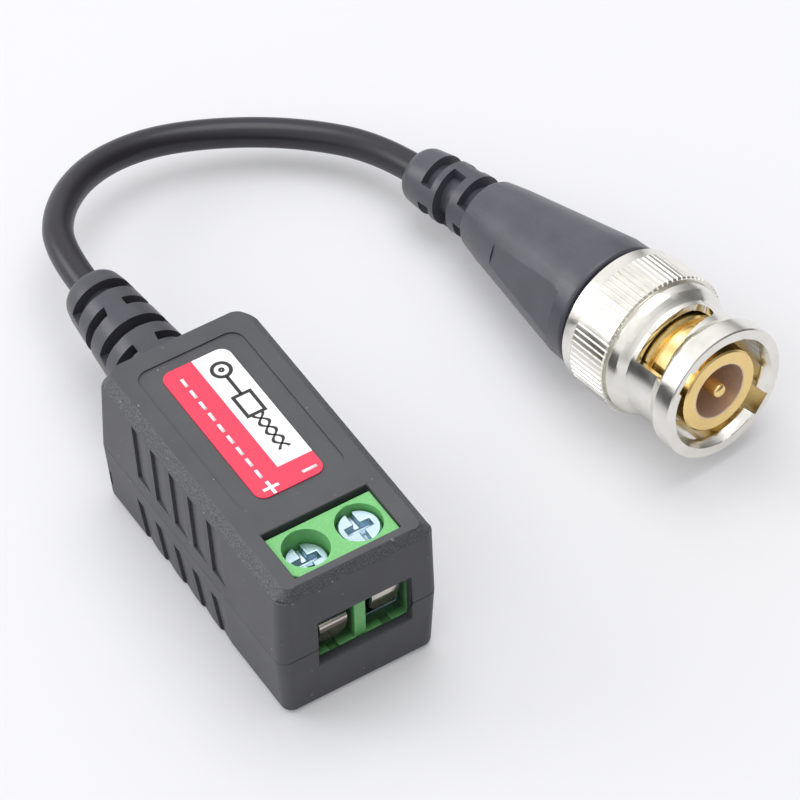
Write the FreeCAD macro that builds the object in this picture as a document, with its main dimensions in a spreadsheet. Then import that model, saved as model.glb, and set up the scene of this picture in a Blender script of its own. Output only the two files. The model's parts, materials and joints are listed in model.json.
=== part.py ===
import FreeCAD, Part
import math
import os
import re
import Sketcher

V = FreeCAD.Vector
Rot = FreeCAD.Rotation

# Video balun: a two-part plastic case with a screw terminal at one end and a
# short coaxial lead with a bayonet plug at the other.
# Frame: origin at the bottom centre of the case, +X towards the terminal end,
# +Y towards the side where the plug lies, +Z up. Millimetres.

SIZES = [
    # case
    ("case_length", 29.8),
    ("case_width", 15.3),
    ("case_height", 15.1),
    ("split_height", 6.64),
    ("foot_inset_x", 0.15),
    ("foot_inset_y", 0.45),
    ("band_height", 1.00),
    ("band_draft_x", 0.02),
    ("band_draft_y", 0.15),
    ("band_step_x", 0.55),
    ("band_step_y", 0.95),
    ("back_draft", 0.35),
    ("side_wall", 1.45),
    ("end_wall", 1.00),
    ("back_wall", 1.20),
    ("roof_wall", 1.30),
    ("floor_wall", 1.30),
    ("foot_round", 0.60),
    ("corner_round", 1.00),
    ("split_edge", 0.08),
    ("rail_width", 1.00),
    ("groove_inset", 6.00),
    ("groove_pitch", 3.05),
    ("groove_run", 2.20),
    ("groove_depth", 0.30),
    ("groove_lean", 0.80),
    ("groove_upper_low", 8.30),
    ("groove_upper_high", 13.95),
    ("groove_lower_high", 4.80),
    ("notch_inset", 1.10),
    ("notch_width", 0.35),
    ("notch_low", 1.70),
    ("notch_height", 1.80),
    ("notch_depth", 0.30),
    ("recess_depth", 0.15),
    ("recess_inset", 2.20),
    ("recess_rim", 2.65),
    ("recess_width", 10.20),
    ("recess_round", 1.30),
    ("label_inset", 3.40),
    ("label_gap", 0.50),
    ("label_width", 6.50),
    ("label_thick", 0.12),
    ("label_round", 1.00),
    # terminal block
    ("term_pitch", 5.08),
    ("term_top_height", 14.70),
    ("term_top_back", 6.43),
    ("term_top_front", 1.48),
    ("term_top_width", 10.08),
    ("term_corner", 0.60),
    ("term_fit", 0.05),
    ("term_gap_back", 0.42),
    ("term_shoulder", 12.20),
    ("term_base_depth", 6.45),
    ("term_side_wall", 0.46),
    ("well_radius", 2.05),
    ("screw_setback", 3.95),
    ("cell_shift", 0.65),
    ("cell_width", 4.00),
    ("cell_floor", 0.50),
    ("cell_mouth", 5.40),
    ("cell_slot", 0.90),
    ("wire_window_width", 9.00),
    ("wire_window_low", 4.60),
    ("wire_window_high", 9.95),
    ("cage_length", 3.30),
    ("cage_fit", 0.05),
    ("cage_wall", 0.35),
    ("cage_sole", 0.45),
    ("cage_roof_low", 9.40),
    ("cage_roof_high", 11.50),
    ("pin_width", 0.80),
    ("pin_depth", 1.00),
    ("pin_reach", 1.40),
    ("screw_head_radius", 1.85),
    ("screw_head_height", 1.20),
    ("screw_thread_radius", 1.10),
    ("screw_thread_length", 2.15),
    ("screw_tip_radius", 0.85),
    ("screw_length", 5.30),
    ("screw_drive_depth", 0.75),
    ("screw_slot_width", 0.55),
    ("screw_cross_length", 2.40),
    ("screw_fit", 0.05),
    ("screw_top_left", 13.25),
    ("screw_top_right", 14.15),
    ("guard_width", 2.70),
    ("guard_thick", 0.40),
    ("guard_inset", 1.10),
    ("guard_depth", 3.90),
    ("guard_lip", 0.90),
    ("guard_tongue", 2.10),
    ("guard_rake", 0.65),
    ("guard_corner", 0.60),
    # board and what stands on it
    ("board_low", 3.00),
    ("board_thick", 1.00),
    ("board_back_gap", 1.70),
    ("board_front_gap", 0.50),
    ("board_side_fit", 0.20),
    ("core_centre", 0.40),
    ("core_outer", 4.60),
    ("core_inner", 2.60),
    ("core_height", 3.20),
    ("winding_thick", 0.45),
    ("winding_angle", 140.0),
    ("surge_length", 4.60),
    ("surge_width", 2.70),
    ("surge_height", 2.30),
    ("surge_inset", 6.20),
    ("surge_gap", 3.00),
    ("chip_length", 2.00),
    ("chip_width", 1.25),
    ("chip_height", 0.90),
    ("chip_inset", 6.70),
    ("chip_gap", 2.60),
    # strain relief on the case
    ("cord_radius", 1.40),
    ("relief_height", 7.55),
    ("relief_length", 14.90),
    ("relief_root_radius", 4.10),
    ("relief_tip_radius", 2.98),
    ("relief_taper", 12.90),
    ("relief_nose_radius", 2.60),
    ("relief_nose_round", 1.20),
    ("relief_neck_radius", 3.40),
    ("relief_flange_radius", 4.30),
    ("relief_flange_thick", 1.00),
    ("relief_core_radius", 1.95),
    ("relief_rib_angle", 32.0),
    ("relief_roll", -8.0),
    ("relief_row_a", 11.35),
    ("relief_row_b", 8.80),
    ("relief_row_c", 5.80),
    ("relief_row_d", 3.35),
    ("relief_slot_long", 1.25),
    ("relief_slot_short", 1.05),
    # plug, measured back from the front rim along its axis
    ("plug_x", 10.71),
    ("plug_y", 39.04),
    ("plug_heading", 6.8),
    ("plug_tilt", 5.3),
    ("rim_radius", 6.40),
    ("rim_width", 1.90),
    ("rim_slope", 1.10),
    ("rim_mouth_radius", 5.40),
    ("rim_bevel", 0.85),
    ("nut_bore", 4.95),
    ("neck_radius", 5.60),
    ("neck_end", 6.30),
    ("shoulder_radius", 6.25),
    ("shoulder_end", 7.90),
    ("knurl_start", 8.15),
    ("knurl_end", 12.30),
    ("knurl_radius", 6.85),
    ("nut_tail_radius", 6.60),
    ("nut_length", 13.76),
    ("nut_cavity", 5.90),
    ("nut_edge", 0.22),
    ("nut_lip_front", 7.85),
    ("nut_lip_back", 9.05),
    ("run_fit", 0.05),
    ("window_rear", 5.80),
    ("window_start_angle", 57.0),
    ("window_end_angle", -22.0),
    ("window_wide_front", 2.10),
    ("window_tight_front", 3.90),
    ("channel_angle", 47.0),
    ("channel_width", 2.10),
    ("channel_radius", 5.75),
    ("sleeve_front", 0.52),
    ("sleeve_outer", 4.00),
    ("sleeve_inner", 2.64),
    ("sleeve_edge", 0.15),
    ("collar_front", 5.20),
    ("collar_back", 6.60),
    ("collar_radius", 4.70),
    ("hub_radius", 3.50),
    ("hub_end", 12.00),
    ("stub_radius", 1.90),
    ("stub_end", 18.00),
    ("stub_bore", 0.80),
    ("insulator_front", 6.20),
    ("insulator_back", 10.20),
    ("pin_front", 0.25),
    ("pin_back", 11.40),
    ("pin_radius", 0.675),
    ("pin_round", 0.35),
    ("spring_back", 7.50),
    ("spring_thick", 0.22),
    ("washer_outer", 4.75),
    ("ring_front", 9.15),
    ("ring_back", 9.90),
    ("ring_outer", 4.80),
    ("ferrule_front", 14.60),
    ("ferrule_back", 24.00),
    ("ferrule_step", 20.00),
    ("ferrule_wall", 0.55),
    ("boot_front", 14.30),
    ("boot_spigot_front", 10.30),
    ("boot_spigot_radius", 5.20),
    ("boot_lip_radius", 6.20),
    ("boot_waist", 29.00),
    ("boot_waist_radius", 3.95),
    ("boot_end", 31.50),
    ("boot_end_radius", 3.40),
    ("boot_edge", 0.35),
    ("boot_roll", -20.0),
    ("panel_back", 26.00),
    ("panel_front", 16.00),
    ("panel_back_height", 4.35),
    ("panel_front_height", 5.75),
    ("panel_width", 6.60),
    ("tail_relief_length", 9.00),
    ("tail_relief_radius", 3.05),
    ("tail_relief_nose", 2.55),
    ("tail_relief_nose_round", 1.20),
    ("tail_relief_core", 2.00),
    ("tail_relief_bend", 6.0),
    ("tail_rib_angle", 36.0),
    ("tail_row_a", 0.25),
    ("tail_row_b", 2.45),
    ("tail_row_c", 4.80),
    ("tail_slot_long", 1.70),
    ("tail_slot_short", 1.30),
]

# Free stretch of the lead, as it lies: points of the route before rounding.
CORD_POINTS = [
    (-35.30, 0.00, 7.55),
    (-40.45, 2.80, 6.80),
    (-44.35, 7.90, 5.60),
    (-45.60, 14.40, 4.40),
    (-43.75, 21.20, 3.60),
    (-39.80, 27.60, 3.30),
]
CORD_LAST_RUN = 5.0
CORD_FILL = 0.45

doc = FreeCAD.newDocument("video_balun")
dims = doc.addObject("Spreadsheet::Sheet", "dims")
for row, (alias, value) in enumerate(SIZES, 1):
    dims.set("A%d" % row, alias)
    dims.set("B%d" % row, repr(value))
    dims.setAlias("B%d" % row, alias)
doc.recompute()
ALIASES = set(alias for alias, value in SIZES)


def size(alias):
    return float(getattr(dims, alias))


def ex(text):
    """An expression on the sheet, written with the bare names of its cells."""
    def cell(match):
        word = match.group(0)
        return "dims." + word if word in ALIASES else word

    return re.sub(r"[A-Za-z_]\w*", cell, str(text))


def value_of(text):
    """The number that an expression on the sheet stands for."""
    names = {alias: size(alias) for alias in ALIASES if alias in str(text)}
    total = doc.getObject("dims")
    return float(total.evalExpression(ex(text)))


def new_body(label):
    body = doc.addObject("PartDesign::Body", label)
    body.Label = label
    return body


def plane(body, role):
    for feature in body.Origin.OriginFeatures:
        if feature.Role == role:
            return feature
    raise ValueError(role)


def pin_point(sketch, geometry, position, x, y):
    """Hold one sketch point at two distances from the sketch's origin."""
    for kind, text in (("DistanceX", x), ("DistanceY", y)):
        number = value_of(text)
        index = sketch.addConstraint(Sketcher.Constraint(kind, -1, 1, geometry, position, number))
        sketch.setExpression("Constraints[%d]" % index, ex(text))


def sketch(body, name, role, loops, lift=None, turn=None):
    """A sketch of closed polygons and circles whose points follow the sheet.

    A polygon is a list of (x, y) expressions; a circle is (x, y, radius).
    """
    sk = body.newObject("Sketcher::SketchObject", name)
    sk.AttachmentSupport = [(plane(body, role), "")]
    sk.MapMode = "FlatFace"
    if turn is not None:
        sk.AttachmentOffset = FreeCAD.Placement(V(0, 0, 0), turn)
    if lift is not None:
        sk.setExpression(".AttachmentOffset.Base.z", ex(lift))
    for loop in loops:
        if isinstance(loop, tuple):
            x, y, radius = loop
            centre = V(value_of(x), value_of(y), 0)
            index = sk.addGeometry(Part.Circle(centre, V(0, 0, 1), value_of(radius)))
            pin_point(sk, index, 3, x, y)
            constraint = sk.addConstraint(Sketcher.Constraint("Radius", index, value_of(radius)))
            sk.setExpression("Constraints[%d]" % constraint, ex(radius))
            continue
        points = [V(value_of(x), value_of(y), 0) for x, y in loop]
        first = sk.GeometryCount
        for i, point in enumerate(points):
            sk.addGeometry(Part.LineSegment(point, points[(i + 1) % len(points)]))
        for i in range(len(points)):
            after = first + (i + 1) % len(points)
            sk.addConstraint(Sketcher.Constraint("Coincident", first + i, 2, after, 1))
        for i, (x, y) in enumerate(loop):
            pin_point(sk, first + i, 1, x, y)
    return sk


def rectangle(x0, x1, y0, y1):
    return [(x0, y0), (x1, y0), (x1, y1), (x0, y1)]


def feature(body, kind, name, profile, length=None, back=False, centred=False):
    item = body.newObject("PartDesign::" + kind, name)
    item.Profile = profile
    if length is not None:
        item.setExpression("Length", ex(length))
    item.Reversed = back
    item.Midplane = centred
    profile.Visibility = False
    return item


def pad(body, name, profile, length, back=False, centred=False):
    item = feature(body, "Pad", name, profile, length, back, centred)
    doc.recompute()
    return item


def pocket(body, name, profile, length, back=False, centred=False):
    before = body.Shape.Volume
    item = feature(body, "Pocket", name, profile, length, back, centred)
    doc.recompute()
    if not body.Shape.Volume < before - 1e-6:
        raise RuntimeError("%s cuts nothing" % name)
    return item


def revolve(body, name, profile, angle="360", centred=False):
    item = feature(body, "Revolution", name, profile, None, False, centred)
    item.ReferenceAxis = (profile, ["H_Axis"])
    item.setExpression("Angle", ex(angle))
    doc.recompute()
    return item


def groove(body, name, profile, angle, centred=True):
    before = body.Shape.Volume
    item = feature(body, "Groove", name, profile, None, False, centred)
    item.ReferenceAxis = (profile, ["H_Axis"])
    item.setExpression("Angle", ex(angle))
    doc.recompute()
    if not body.Shape.Volume < before - 1e-6:
        raise RuntimeError("%s cuts nothing" % name)
    return item


def pattern(body, kind, name, originals, **values):
    before = body.Shape.Volume
    item = body.newObject("PartDesign::" + kind, name)
    item.Originals = originals
    for key, value in values.items():
        if key == "Length":
            item.setExpression(key, ex(value))
        else:
            setattr(item, key, value)
    body.Tip = item
    doc.recompute()
    if abs(body.Shape.Volume - before) < 1e-6:
        raise RuntimeError("%s adds no copy" % name)
    return item


def round_edges(body, name, radius, wanted, kind="Fillet"):
    """Round or chamfer the edges of the body that the test picks."""
    base = body.Tip
    names = ["Edge%d" % (i + 1) for i, edge in enumerate(base.Shape.Edges) if wanted(edge)]
    if not names:
        raise RuntimeError("%s finds no edge" % name)
    item = body.newObject("PartDesign::" + kind, name)
    item.Base = (base, names)
    item.setExpression("Radius" if kind == "Fillet" else "Size", ex(radius))
    doc.recompute()
    return item


def circle_at(edge, x, radius, tolerance=0.02):
    curve = edge.Curve
    if not isinstance(curve, Part.Circle):
        return False
    return abs(curve.Radius - radius) < tolerance and abs(curve.Center.x - x) < tolerance


# Case: two shells that meet at the split line, with a raised textured band round
# the roof on three sides.

def wedge(body, name, low, high, base, top):
    """A drafted block between two heights; base and top are (back, front, half width)."""
    item = body.newObject("PartDesign::AdditiveWedge", name)
    item.Placement = FreeCAD.Placement(V(0, 0, 0), Rot(V(1, 0, 0), 90))
    limits = [("Xmin", base[0]), ("Xmax", base[1]), ("Ymin", low), ("Ymax", high),
              ("Zmin", "-(%s)" % base[2]), ("Zmax", base[2]), ("X2min", top[0]), ("X2max", top[1]),
              ("Z2min", "-(%s)" % top[2]), ("Z2max", top[2])]
    for key, text in limits:
        setattr(item, key, value_of(text))
    for key, text in limits:
        item.setExpression(key, ex(text))
    doc.recompute()
    return item


TERM_HALF = "(term_pitch/2 + cell_width/2 + term_side_wall)"
WINDOW_Y0 = "cell_shift - wire_window_width/2 - 0.1"
WINDOW_Y1 = "cell_shift + wire_window_width/2 - 0.1"
CAVITY_X0 = "-(case_length/2 - back_wall)"
CAVITY_X1 = "case_length/2 - end_wall"
# a case made narrower still clears the terminal body
CAVITY_Y = "max(case_width/2 - side_wall; cell_shift + %s + term_fit)" % TERM_HALF
RECESS_X0 = "-(case_length/2 - recess_inset)"
RECESS_X1 = "case_length/2 - term_top_back - term_gap_back - recess_rim"


def split_bevel(body):
    """The fine groove along the line where the two shells meet."""
    level = size("split_height")

    def at_split(edge):
        return edge.BoundBox.ZLength < 1e-6 and abs(edge.BoundBox.ZMin - level) < 1e-6

    round_edges(body, "SplitBevel", "split_edge", at_split, kind="Chamfer")


def case_openings(body, low, high):
    """The wire window, the hole of the strain relief and the grip grooves."""
    window = sketch(body, "WindowOutline", "YZ_Plane", [rectangle(WINDOW_Y0, WINDOW_Y1, low, high)],
                    lift="case_length/2 - end_wall - 0.3")
    pocket(body, "WireWindow", window, "end_wall + 1", back=True)
    hole = sketch(body, "ReliefOutline", "YZ_Plane", [("0", "relief_height", "relief_neck_radius")],
                  lift="-(case_length/2 - back_wall) + 0.3")
    pocket(body, "ReliefHole", hole, "back_wall + 1")


def grip_grooves(body, low, high, wall_low, wall_high):
    """Five leaning grooves on each long side: a steep back, and a floor that climbs to the front."""
    grooves = []
    for name, side in (("Right", ""), ("Left", "-")):
        start = "-(case_length/2 - groove_inset) + groove_lean"
        outer = "%s(%s + groove_depth/2)" % (side, wall_low)
        profile = [(start, "%s(%s - groove_depth)" % (side, wall_low)),
                   (start + " + 1.5*groove_run", outer), (start, outer)]
        outline = sketch(body, "GrooveOutline" + name, "XY_Plane", [profile], lift=low)
        before = body.Shape.Volume
        item = feature(body, "Pocket", "GripGroove" + name, outline, "%s - (%s)" % (high, low), back=True)
        item.UseCustomVector = True
        # the groove follows the leaning rib and the drafted wall
        for key, text in (("x", "-groove_lean"), ("y", "%s((%s) - (%s))" % (side, wall_high, wall_low)),
                          ("z", "%s - (%s)" % (high, low))):
            item.setExpression("Direction." + key, ex("-1*(%s)" % text))
        doc.recompute()
        if not body.Shape.Volume < before - 1e-6:
            raise RuntimeError("GripGroove%s cuts nothing" % name)
        grooves.append(item)
    pattern(body, "LinearPattern", "GripGrooves", grooves, Direction=(outline, ["H_Axis"]),
            Length="4*groove_pitch", Occurrences=5)


def build_case_lower():
    body = new_body("case_lower")
    foot = ("-(case_length/2 - foot_inset_x)", "case_length/2 - foot_inset_x/3",
            "case_width/2 - foot_inset_y")
    split = ("-case_length/2", "case_length/2", "case_width/2")
    wedge(body, "Shell", "0", "split_height", foot, split)
    round_edges(body, "CornerRound", "corner_round", lambda e: e.BoundBox.ZLength > 1e-6)
    round_edges(body, "FootRound", "foot_round", lambda e: abs(e.BoundBox.ZMax) < 1e-6)
    split_bevel(body)
    cavity = sketch(body, "CavityOutline", "XY_Plane",
                    [rectangle(CAVITY_X0, CAVITY_X1, "-(%s)" % CAVITY_Y, CAVITY_Y)], lift="split_height")
    pocket(body, "Cavity", cavity, "split_height - floor_wall")
    inner = CAVITY_Y
    rails = [rectangle(CAVITY_X0, CAVITY_X1, "%s - rail_width" % inner, inner),
             rectangle(CAVITY_X0, CAVITY_X1, "-(%s)" % inner, "-(%s - rail_width)" % inner)]
    rail = sketch(body, "RailOutline", "XY_Plane", rails, lift="floor_wall")
    pad(body, "BoardRails", rail, "board_low - floor_wall")
    case_openings(body, "wire_window_low", "split_height + 1")
    slope = "foot_inset_y/split_height"
    grip_grooves(body, "-0.1", "groove_lower_high", "case_width/2 - foot_inset_y",
                 "case_width/2 - %s*(split_height - groove_lower_high)" % slope)
    notch = rectangle("-(case_length/2 - notch_inset) - notch_width/2",
                      "-(case_length/2 - notch_inset) + notch_width/2",
                      "notch_low", "notch_low + notch_height")
    for name, lift, back in (("Left", "case_width/2 - notch_depth - foot_inset_y", False),
                             ("Right", "-(case_width/2 - notch_depth - foot_inset_y)", True)):
        mark = sketch(body, "NotchOutline" + name, "XZ_Plane", [notch], lift=lift)
        pocket(body, "Notch" + name, mark, "notch_depth + foot_inset_y + 0.1", back=not back)
    return body


def build_case_upper():
    body = new_body("case_upper")
    band = "case_height - band_height"
    split = ("-case_length/2", "case_length/2", "case_width/2")
    low = ("-(case_length/2 - back_draft*0.8)", "case_length/2 - band_draft_x", "case_width/2 - band_draft_y")
    top = ("-(case_length/2 - back_draft)", "case_length/2 - band_draft_x - band_step_x",
           "case_width/2 - band_draft_y - band_step_y")
    wedge(body, "Shell", "split_height", band, split, low)
    wedge(body, "Roof", band, "case_height", low, top)
    round_edges(body, "CornerRound", "corner_round", lambda e: e.BoundBox.ZLength > 1e-6)
    split_bevel(body)
    cavity = sketch(body, "CavityOutline", "XY_Plane",
                    [rectangle(CAVITY_X0, CAVITY_X1, "-(%s)" % CAVITY_Y, CAVITY_Y)], lift="split_height")
    pocket(body, "Cavity", cavity, "case_height - roof_wall - split_height", back=True)
    opening = rectangle("case_length/2 - term_top_back - term_gap_back",
                        "case_length/2 - term_top_front + term_fit",
                        "-(term_top_width/2 + term_fit)", "term_top_width/2 + term_fit")
    top_hole = sketch(body, "TerminalOutline", "XY_Plane", [opening], lift="case_height")
    pocket(body, "TerminalOpening", top_hole, "roof_wall + 0.5")
    panel = sketch(body, "RecessOutline", "XY_Plane",
                   [rectangle(RECESS_X0, RECESS_X1, "-recess_width/2", "recess_width/2")],
                   lift="case_height")
    pocket(body, "LabelRecess", panel, "recess_depth")
    depth = size("recess_depth")
    floor = size("case_height") - depth
    span = size("recess_width") / 2

    def recess_corner(edge):
        box = edge.BoundBox
        upright = abs(box.ZLength - depth) < 1e-6 and box.XLength < 1e-6 and box.YLength < 1e-6
        return upright and abs(box.ZMin - floor) < 1e-6 and abs(abs(box.YMin) - span) < 1e-6

    round_edges(body, "RecessRound", "recess_round", recess_corner)
    case_openings(body, "split_height - 1", "wire_window_high")
    slope = "band_draft_y/(case_height - band_height - split_height)"
    wall = "case_width/2 - %s*(%s - split_height)"
    grip_grooves(body, "groove_upper_low", "groove_upper_high",
                 wall % (slope, "groove_upper_low"), wall % (slope, "groove_upper_high"))
    return body


def build_label():
    body = new_body("label")
    outline = sketch(body, "LabelOutline", "XY_Plane",
                     [rectangle("-(case_length/2 - label_inset)", "%s - label_gap" % RECESS_X1,
                                "-label_width/2", "label_width/2")], lift="case_height - recess_depth")
    pad(body, "Sheet", outline, "label_thick")
    thick = size("label_thick")
    round_edges(body, "Corners", "label_round", lambda e: abs(e.BoundBox.ZLength - thick) < 1e-6)
    return body


# Terminal block: a moulded body with two screw wells and two wire cells; in each
# cell a plated cage with the thread and the solder pin, and a wire guard that the
# screw drives down onto the wire.

SCREW_X = "case_length/2 - screw_setback"
BOARD_TOP = "board_low + board_thick"
CELL_LOW = "board_low + board_thick + cell_floor"
TERM_FRONT = "case_length/2 - end_wall - term_fit"
CAGE_X0 = "(%s) - cage_length/2" % SCREW_X
CAGE_X1 = "(%s) + cage_length/2" % SCREW_X


def screw_y(side):
    return "%d*term_pitch/2" % side


def cell_y(side):
    return "%d*term_pitch/2 + cell_shift" % side


def build_terminal_body():
    body = new_body("terminal_body")
    base = sketch(body, "BaseOutline", "XY_Plane",
                  [rectangle("(%s) - term_base_depth" % TERM_FRONT, TERM_FRONT,
                             "cell_shift - %s" % TERM_HALF, "cell_shift + %s" % TERM_HALF)], lift=BOARD_TOP)
    pad(body, "Base", base, "term_shoulder - (%s)" % BOARD_TOP)
    x0 = "case_length/2 - term_top_back"
    x1 = "case_length/2 - term_top_front"
    w = "term_top_width/2"
    outline = [(x0, "-" + w), (x1 + " - term_corner", "-" + w), (x1, "-%s + term_corner" % w),
               (x1, w), (x0, w)]
    top = sketch(body, "TopOutline", "XY_Plane", [outline], lift="term_shoulder")
    pad(body, "Top", top, "term_top_height - term_shoulder")
    wells = sketch(body, "WellOutline", "XY_Plane",
                   [(SCREW_X, screw_y(side), "well_radius") for side in (-1, 1)], lift="term_top_height")
    pocket(body, "ScrewWells", wells, "term_top_height - cage_roof_high")
    cages = []
    mouths = []
    slots = []
    pins = []
    for side in (-1, 1):
        y0 = "%s - cell_width/2" % cell_y(side)
        y1 = "%s + cell_width/2" % cell_y(side)
        cages.append(rectangle("(%s) - cage_fit" % CAGE_X0, "(%s) + cage_fit" % CAGE_X1, y0, y1))
        mouths.append(rectangle("(%s) - cage_fit" % CAGE_X1, "(%s) + 1" % TERM_FRONT, y0, y1))
        slots.append(rectangle("(%s) + cage_fit" % CAGE_X1, "(%s) + 1" % TERM_FRONT,
                               "%s - cell_slot/2" % cell_y(side), "%s + cell_slot/2" % cell_y(side)))
        pins.append((SCREW_X, cell_y(side), "pin_depth/2 + 0.35"))
    cage = sketch(body, "CageOutline", "XY_Plane", cages, lift=CELL_LOW)
    pocket(body, "CagePockets", cage, "cage_roof_high + cage_fit - (%s)" % CELL_LOW, back=True)
    mouth = sketch(body, "MouthOutline", "XY_Plane", mouths, lift=CELL_LOW)
    pocket(body, "WireMouths", mouth, "cell_mouth", back=True)
    slot = sketch(body, "SlotOutline", "XY_Plane", slots, lift=CELL_LOW)
    pocket(body, "FloorSlots", slot, "cell_floor*0.8")
    hole = sketch(body, "PinOutline", "XY_Plane", pins, lift=CELL_LOW)
    pocket(body, "PinHoles", hole, "cell_floor + 0.5")
    return body


def build_terminal_cage(label, side):
    body = new_body(label)
    y0 = "%s - cell_width/2 + cage_fit" % cell_y(side)
    y1 = "%s + cell_width/2 - cage_fit" % cell_y(side)
    outer = rectangle(y0, y1, CELL_LOW, "cage_roof_high")
    inner = rectangle("%s + cage_wall" % y0, "%s - cage_wall" % y1,
                      "%s + cage_sole" % CELL_LOW, "cage_roof_low")
    frame = sketch(body, "FrameOutline", "YZ_Plane", [outer, inner], lift=CAGE_X0)
    pad(body, "Frame", frame, "cage_length")
    thread = sketch(body, "ThreadOutline", "XY_Plane",
                    [(SCREW_X, screw_y(side), "screw_thread_radius + screw_fit")], lift="cage_roof_high")
    pocket(body, "ThreadedHole", thread, "cage_roof_high - cage_roof_low + 0.3")
    leg = sketch(body, "PinOutline", "XY_Plane",
                 [rectangle("(%s) - pin_width/2" % SCREW_X, "(%s) + pin_width/2" % SCREW_X,
                            "%s - pin_depth/2" % cell_y(side), "%s + pin_depth/2" % cell_y(side))],
                 lift=CELL_LOW)
    pad(body, "SolderPin", leg, "cell_floor + board_thick + pin_reach", back=True)
    return body


def build_wire_guard(label, side, screw_top):
    body = new_body(label)
    top = "(%s - screw_length)" % screw_top
    low = "(%s - guard_lip - guard_tongue)" % top
    front = "(case_length/2 - guard_inset)"
    back = "(%s - guard_depth)" % front
    rake = "%s - guard_rake" % front
    profile = [
        (back, top),
        (front + " - guard_thick/2", top),
        (front, "%s - guard_thick/2" % top),
        (front, "%s - guard_lip" % top),
        (rake, low),
        ("%s - guard_thick" % rake, low),
        (front + " - guard_thick", "%s - guard_lip" % top),
        (front + " - guard_thick", "%s - guard_thick" % top),
        (back, "%s - guard_thick" % top),
    ]
    strip = sketch(body, "StripOutline", "XZ_Plane", [profile], lift="-(%s)" % cell_y(side))
    pad(body, "Strip", strip, "guard_width", centred=True)
    corners = []
    for hand in (-1, 1):
        edge = "%s + %d*(guard_width/2 + 0.1)" % (cell_y(side), hand)
        inside = "%s + %d*(guard_width/2 - guard_corner)" % (cell_y(side), hand)
        corners.append([(edge, "%s - 0.1" % low), (inside, "%s - 0.1" % low),
                        (edge, "%s + 1.6*guard_corner" % low)])
    cut = sketch(body, "CornerOutline", "YZ_Plane", corners, lift="%s - 2*guard_rake - guard_thick" % front)
    pocket(body, "TongueCorners", cut, "2*guard_rake + 2*guard_thick", back=True)
    return body


def build_terminal_screw(label, side, screw_top):
    body = new_body(label)
    edge = "0.15"
    profile = [
        ("0", "0"),
        ("0", "screw_head_radius - %s" % edge),
        ("-%s" % edge, "screw_head_radius"),
        ("-screw_head_height", "screw_head_radius"),
        ("-screw_head_height", "screw_thread_radius"),
        ("-(screw_head_height + screw_thread_length)", "screw_thread_radius"),
        ("-(screw_head_height + screw_thread_length)", "screw_tip_radius"),
        ("-screw_length", "screw_tip_radius"),
        ("-screw_length", "0"),
    ]
    turned = sketch(body, "TurnedOutline", "XY_Plane", [profile])
    revolve(body, "Turned", turned)
    slot = rectangle("-screw_slot_width/2", "screw_slot_width/2",
                     "-(screw_head_radius + 0.5)", "screw_head_radius + 0.5")
    cross = rectangle("-screw_cross_length/2", "screw_cross_length/2",
                      "-screw_slot_width*0.7", "screw_slot_width*0.7")
    slot_sketch = sketch(body, "SlotOutline", "YZ_Plane", [slot])
    pocket(body, "DriveSlot", slot_sketch, "screw_drive_depth")
    cross_sketch = sketch(body, "CrossOutline", "YZ_Plane", [cross])
    pocket(body, "DriveCross", cross_sketch, "screw_drive_depth*1.2")
    body.Placement = FreeCAD.Placement(V(0, 0, 0), Rot(V(0, 1, 0), -90))
    body.setExpression(".Placement.Base.x", ex(SCREW_X))
    body.setExpression(".Placement.Base.y", ex(screw_y(side)))
    body.setExpression(".Placement.Base.z", ex(screw_top))
    return body


# Board with the balun transformer and the small parts beside it.

def build_board():
    body = new_body("circuit_board")
    half = "%s - board_side_fit" % CAVITY_Y
    holes = [(SCREW_X, cell_y(side), "pin_depth/2 + 0.35") for side in (-1, 1)]
    outline = sketch(body, "BoardOutline", "XY_Plane",
                     [rectangle("%s + board_back_gap" % CAVITY_X0, "%s - board_front_gap" % CAVITY_X1,
                                "-(%s)" % half, half)] + holes, lift="board_low")
    pad(body, "Board", outline, "board_thick")
    return body


CORE_LOW = "(board_low + board_thick + winding_thick)"


def build_core():
    body = new_body("transformer_core")
    ring = sketch(body, "RingOutline", "XY_Plane",
                  [("core_centre", "0", "core_outer"), ("core_centre", "0", "core_inner")], lift=CORE_LOW)
    pad(body, "Ring", ring, "core_height")
    return body


def build_winding(label, facing):
    """Half of the bifilar winding, wrapped round one side of the ring core."""
    body = new_body(label)
    # the section lies on a plane through the core's upright axis
    outer = rectangle("-winding_thick", "core_height + winding_thick", "core_inner - winding_thick",
                      "core_outer + winding_thick")
    inner = rectangle("0", "core_height", "core_inner", "core_outer")
    section = sketch(body, "WrapSection", "XY_Plane", [outer, inner])
    revolve(body, "Wrap", section, "winding_angle", centred=True)
    spin = 0 if facing > 0 else 180
    body.Placement = FreeCAD.Placement(V(0, 0, 0), Rot(V(0, 0, 1), spin).multiply(Rot(V(0, 1, 0), -90)))
    body.setExpression(".Placement.Base.x", ex("core_centre"))
    body.setExpression(".Placement.Base.z", ex(CORE_LOW))
    return body


def build_block(label, x, y, length, width, height):
    body = new_body(label)
    outline = sketch(body, "BlockOutline", "XY_Plane",
                     [rectangle("%s - %s/2" % (x, length), "%s + %s/2" % (x, length),
                                "%s - %s/2" % (y, width), "%s + %s/2" % (y, width))], lift=BOARD_TOP)
    pad(body, "Block", outline, height)
    return body


# Strain reliefs: a turned sleeve with rows of slots that alternate by a quarter
# turn, so that it bends both ways.

def slot_row(body, name, role, start, width, core, outer, angle):
    outline = rectangle(start, "%s + %s" % (start, width), core, "%s + 0.6" % outer)
    profile = sketch(body, name + "Outline", role, [outline])
    cut = groove(body, name, profile, angle)
    pattern(body, "PolarPattern", name + "Pair", [cut], Axis=(profile, ["H_Axis"]),
            Angle=360.0, Occurrences=2)


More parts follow.
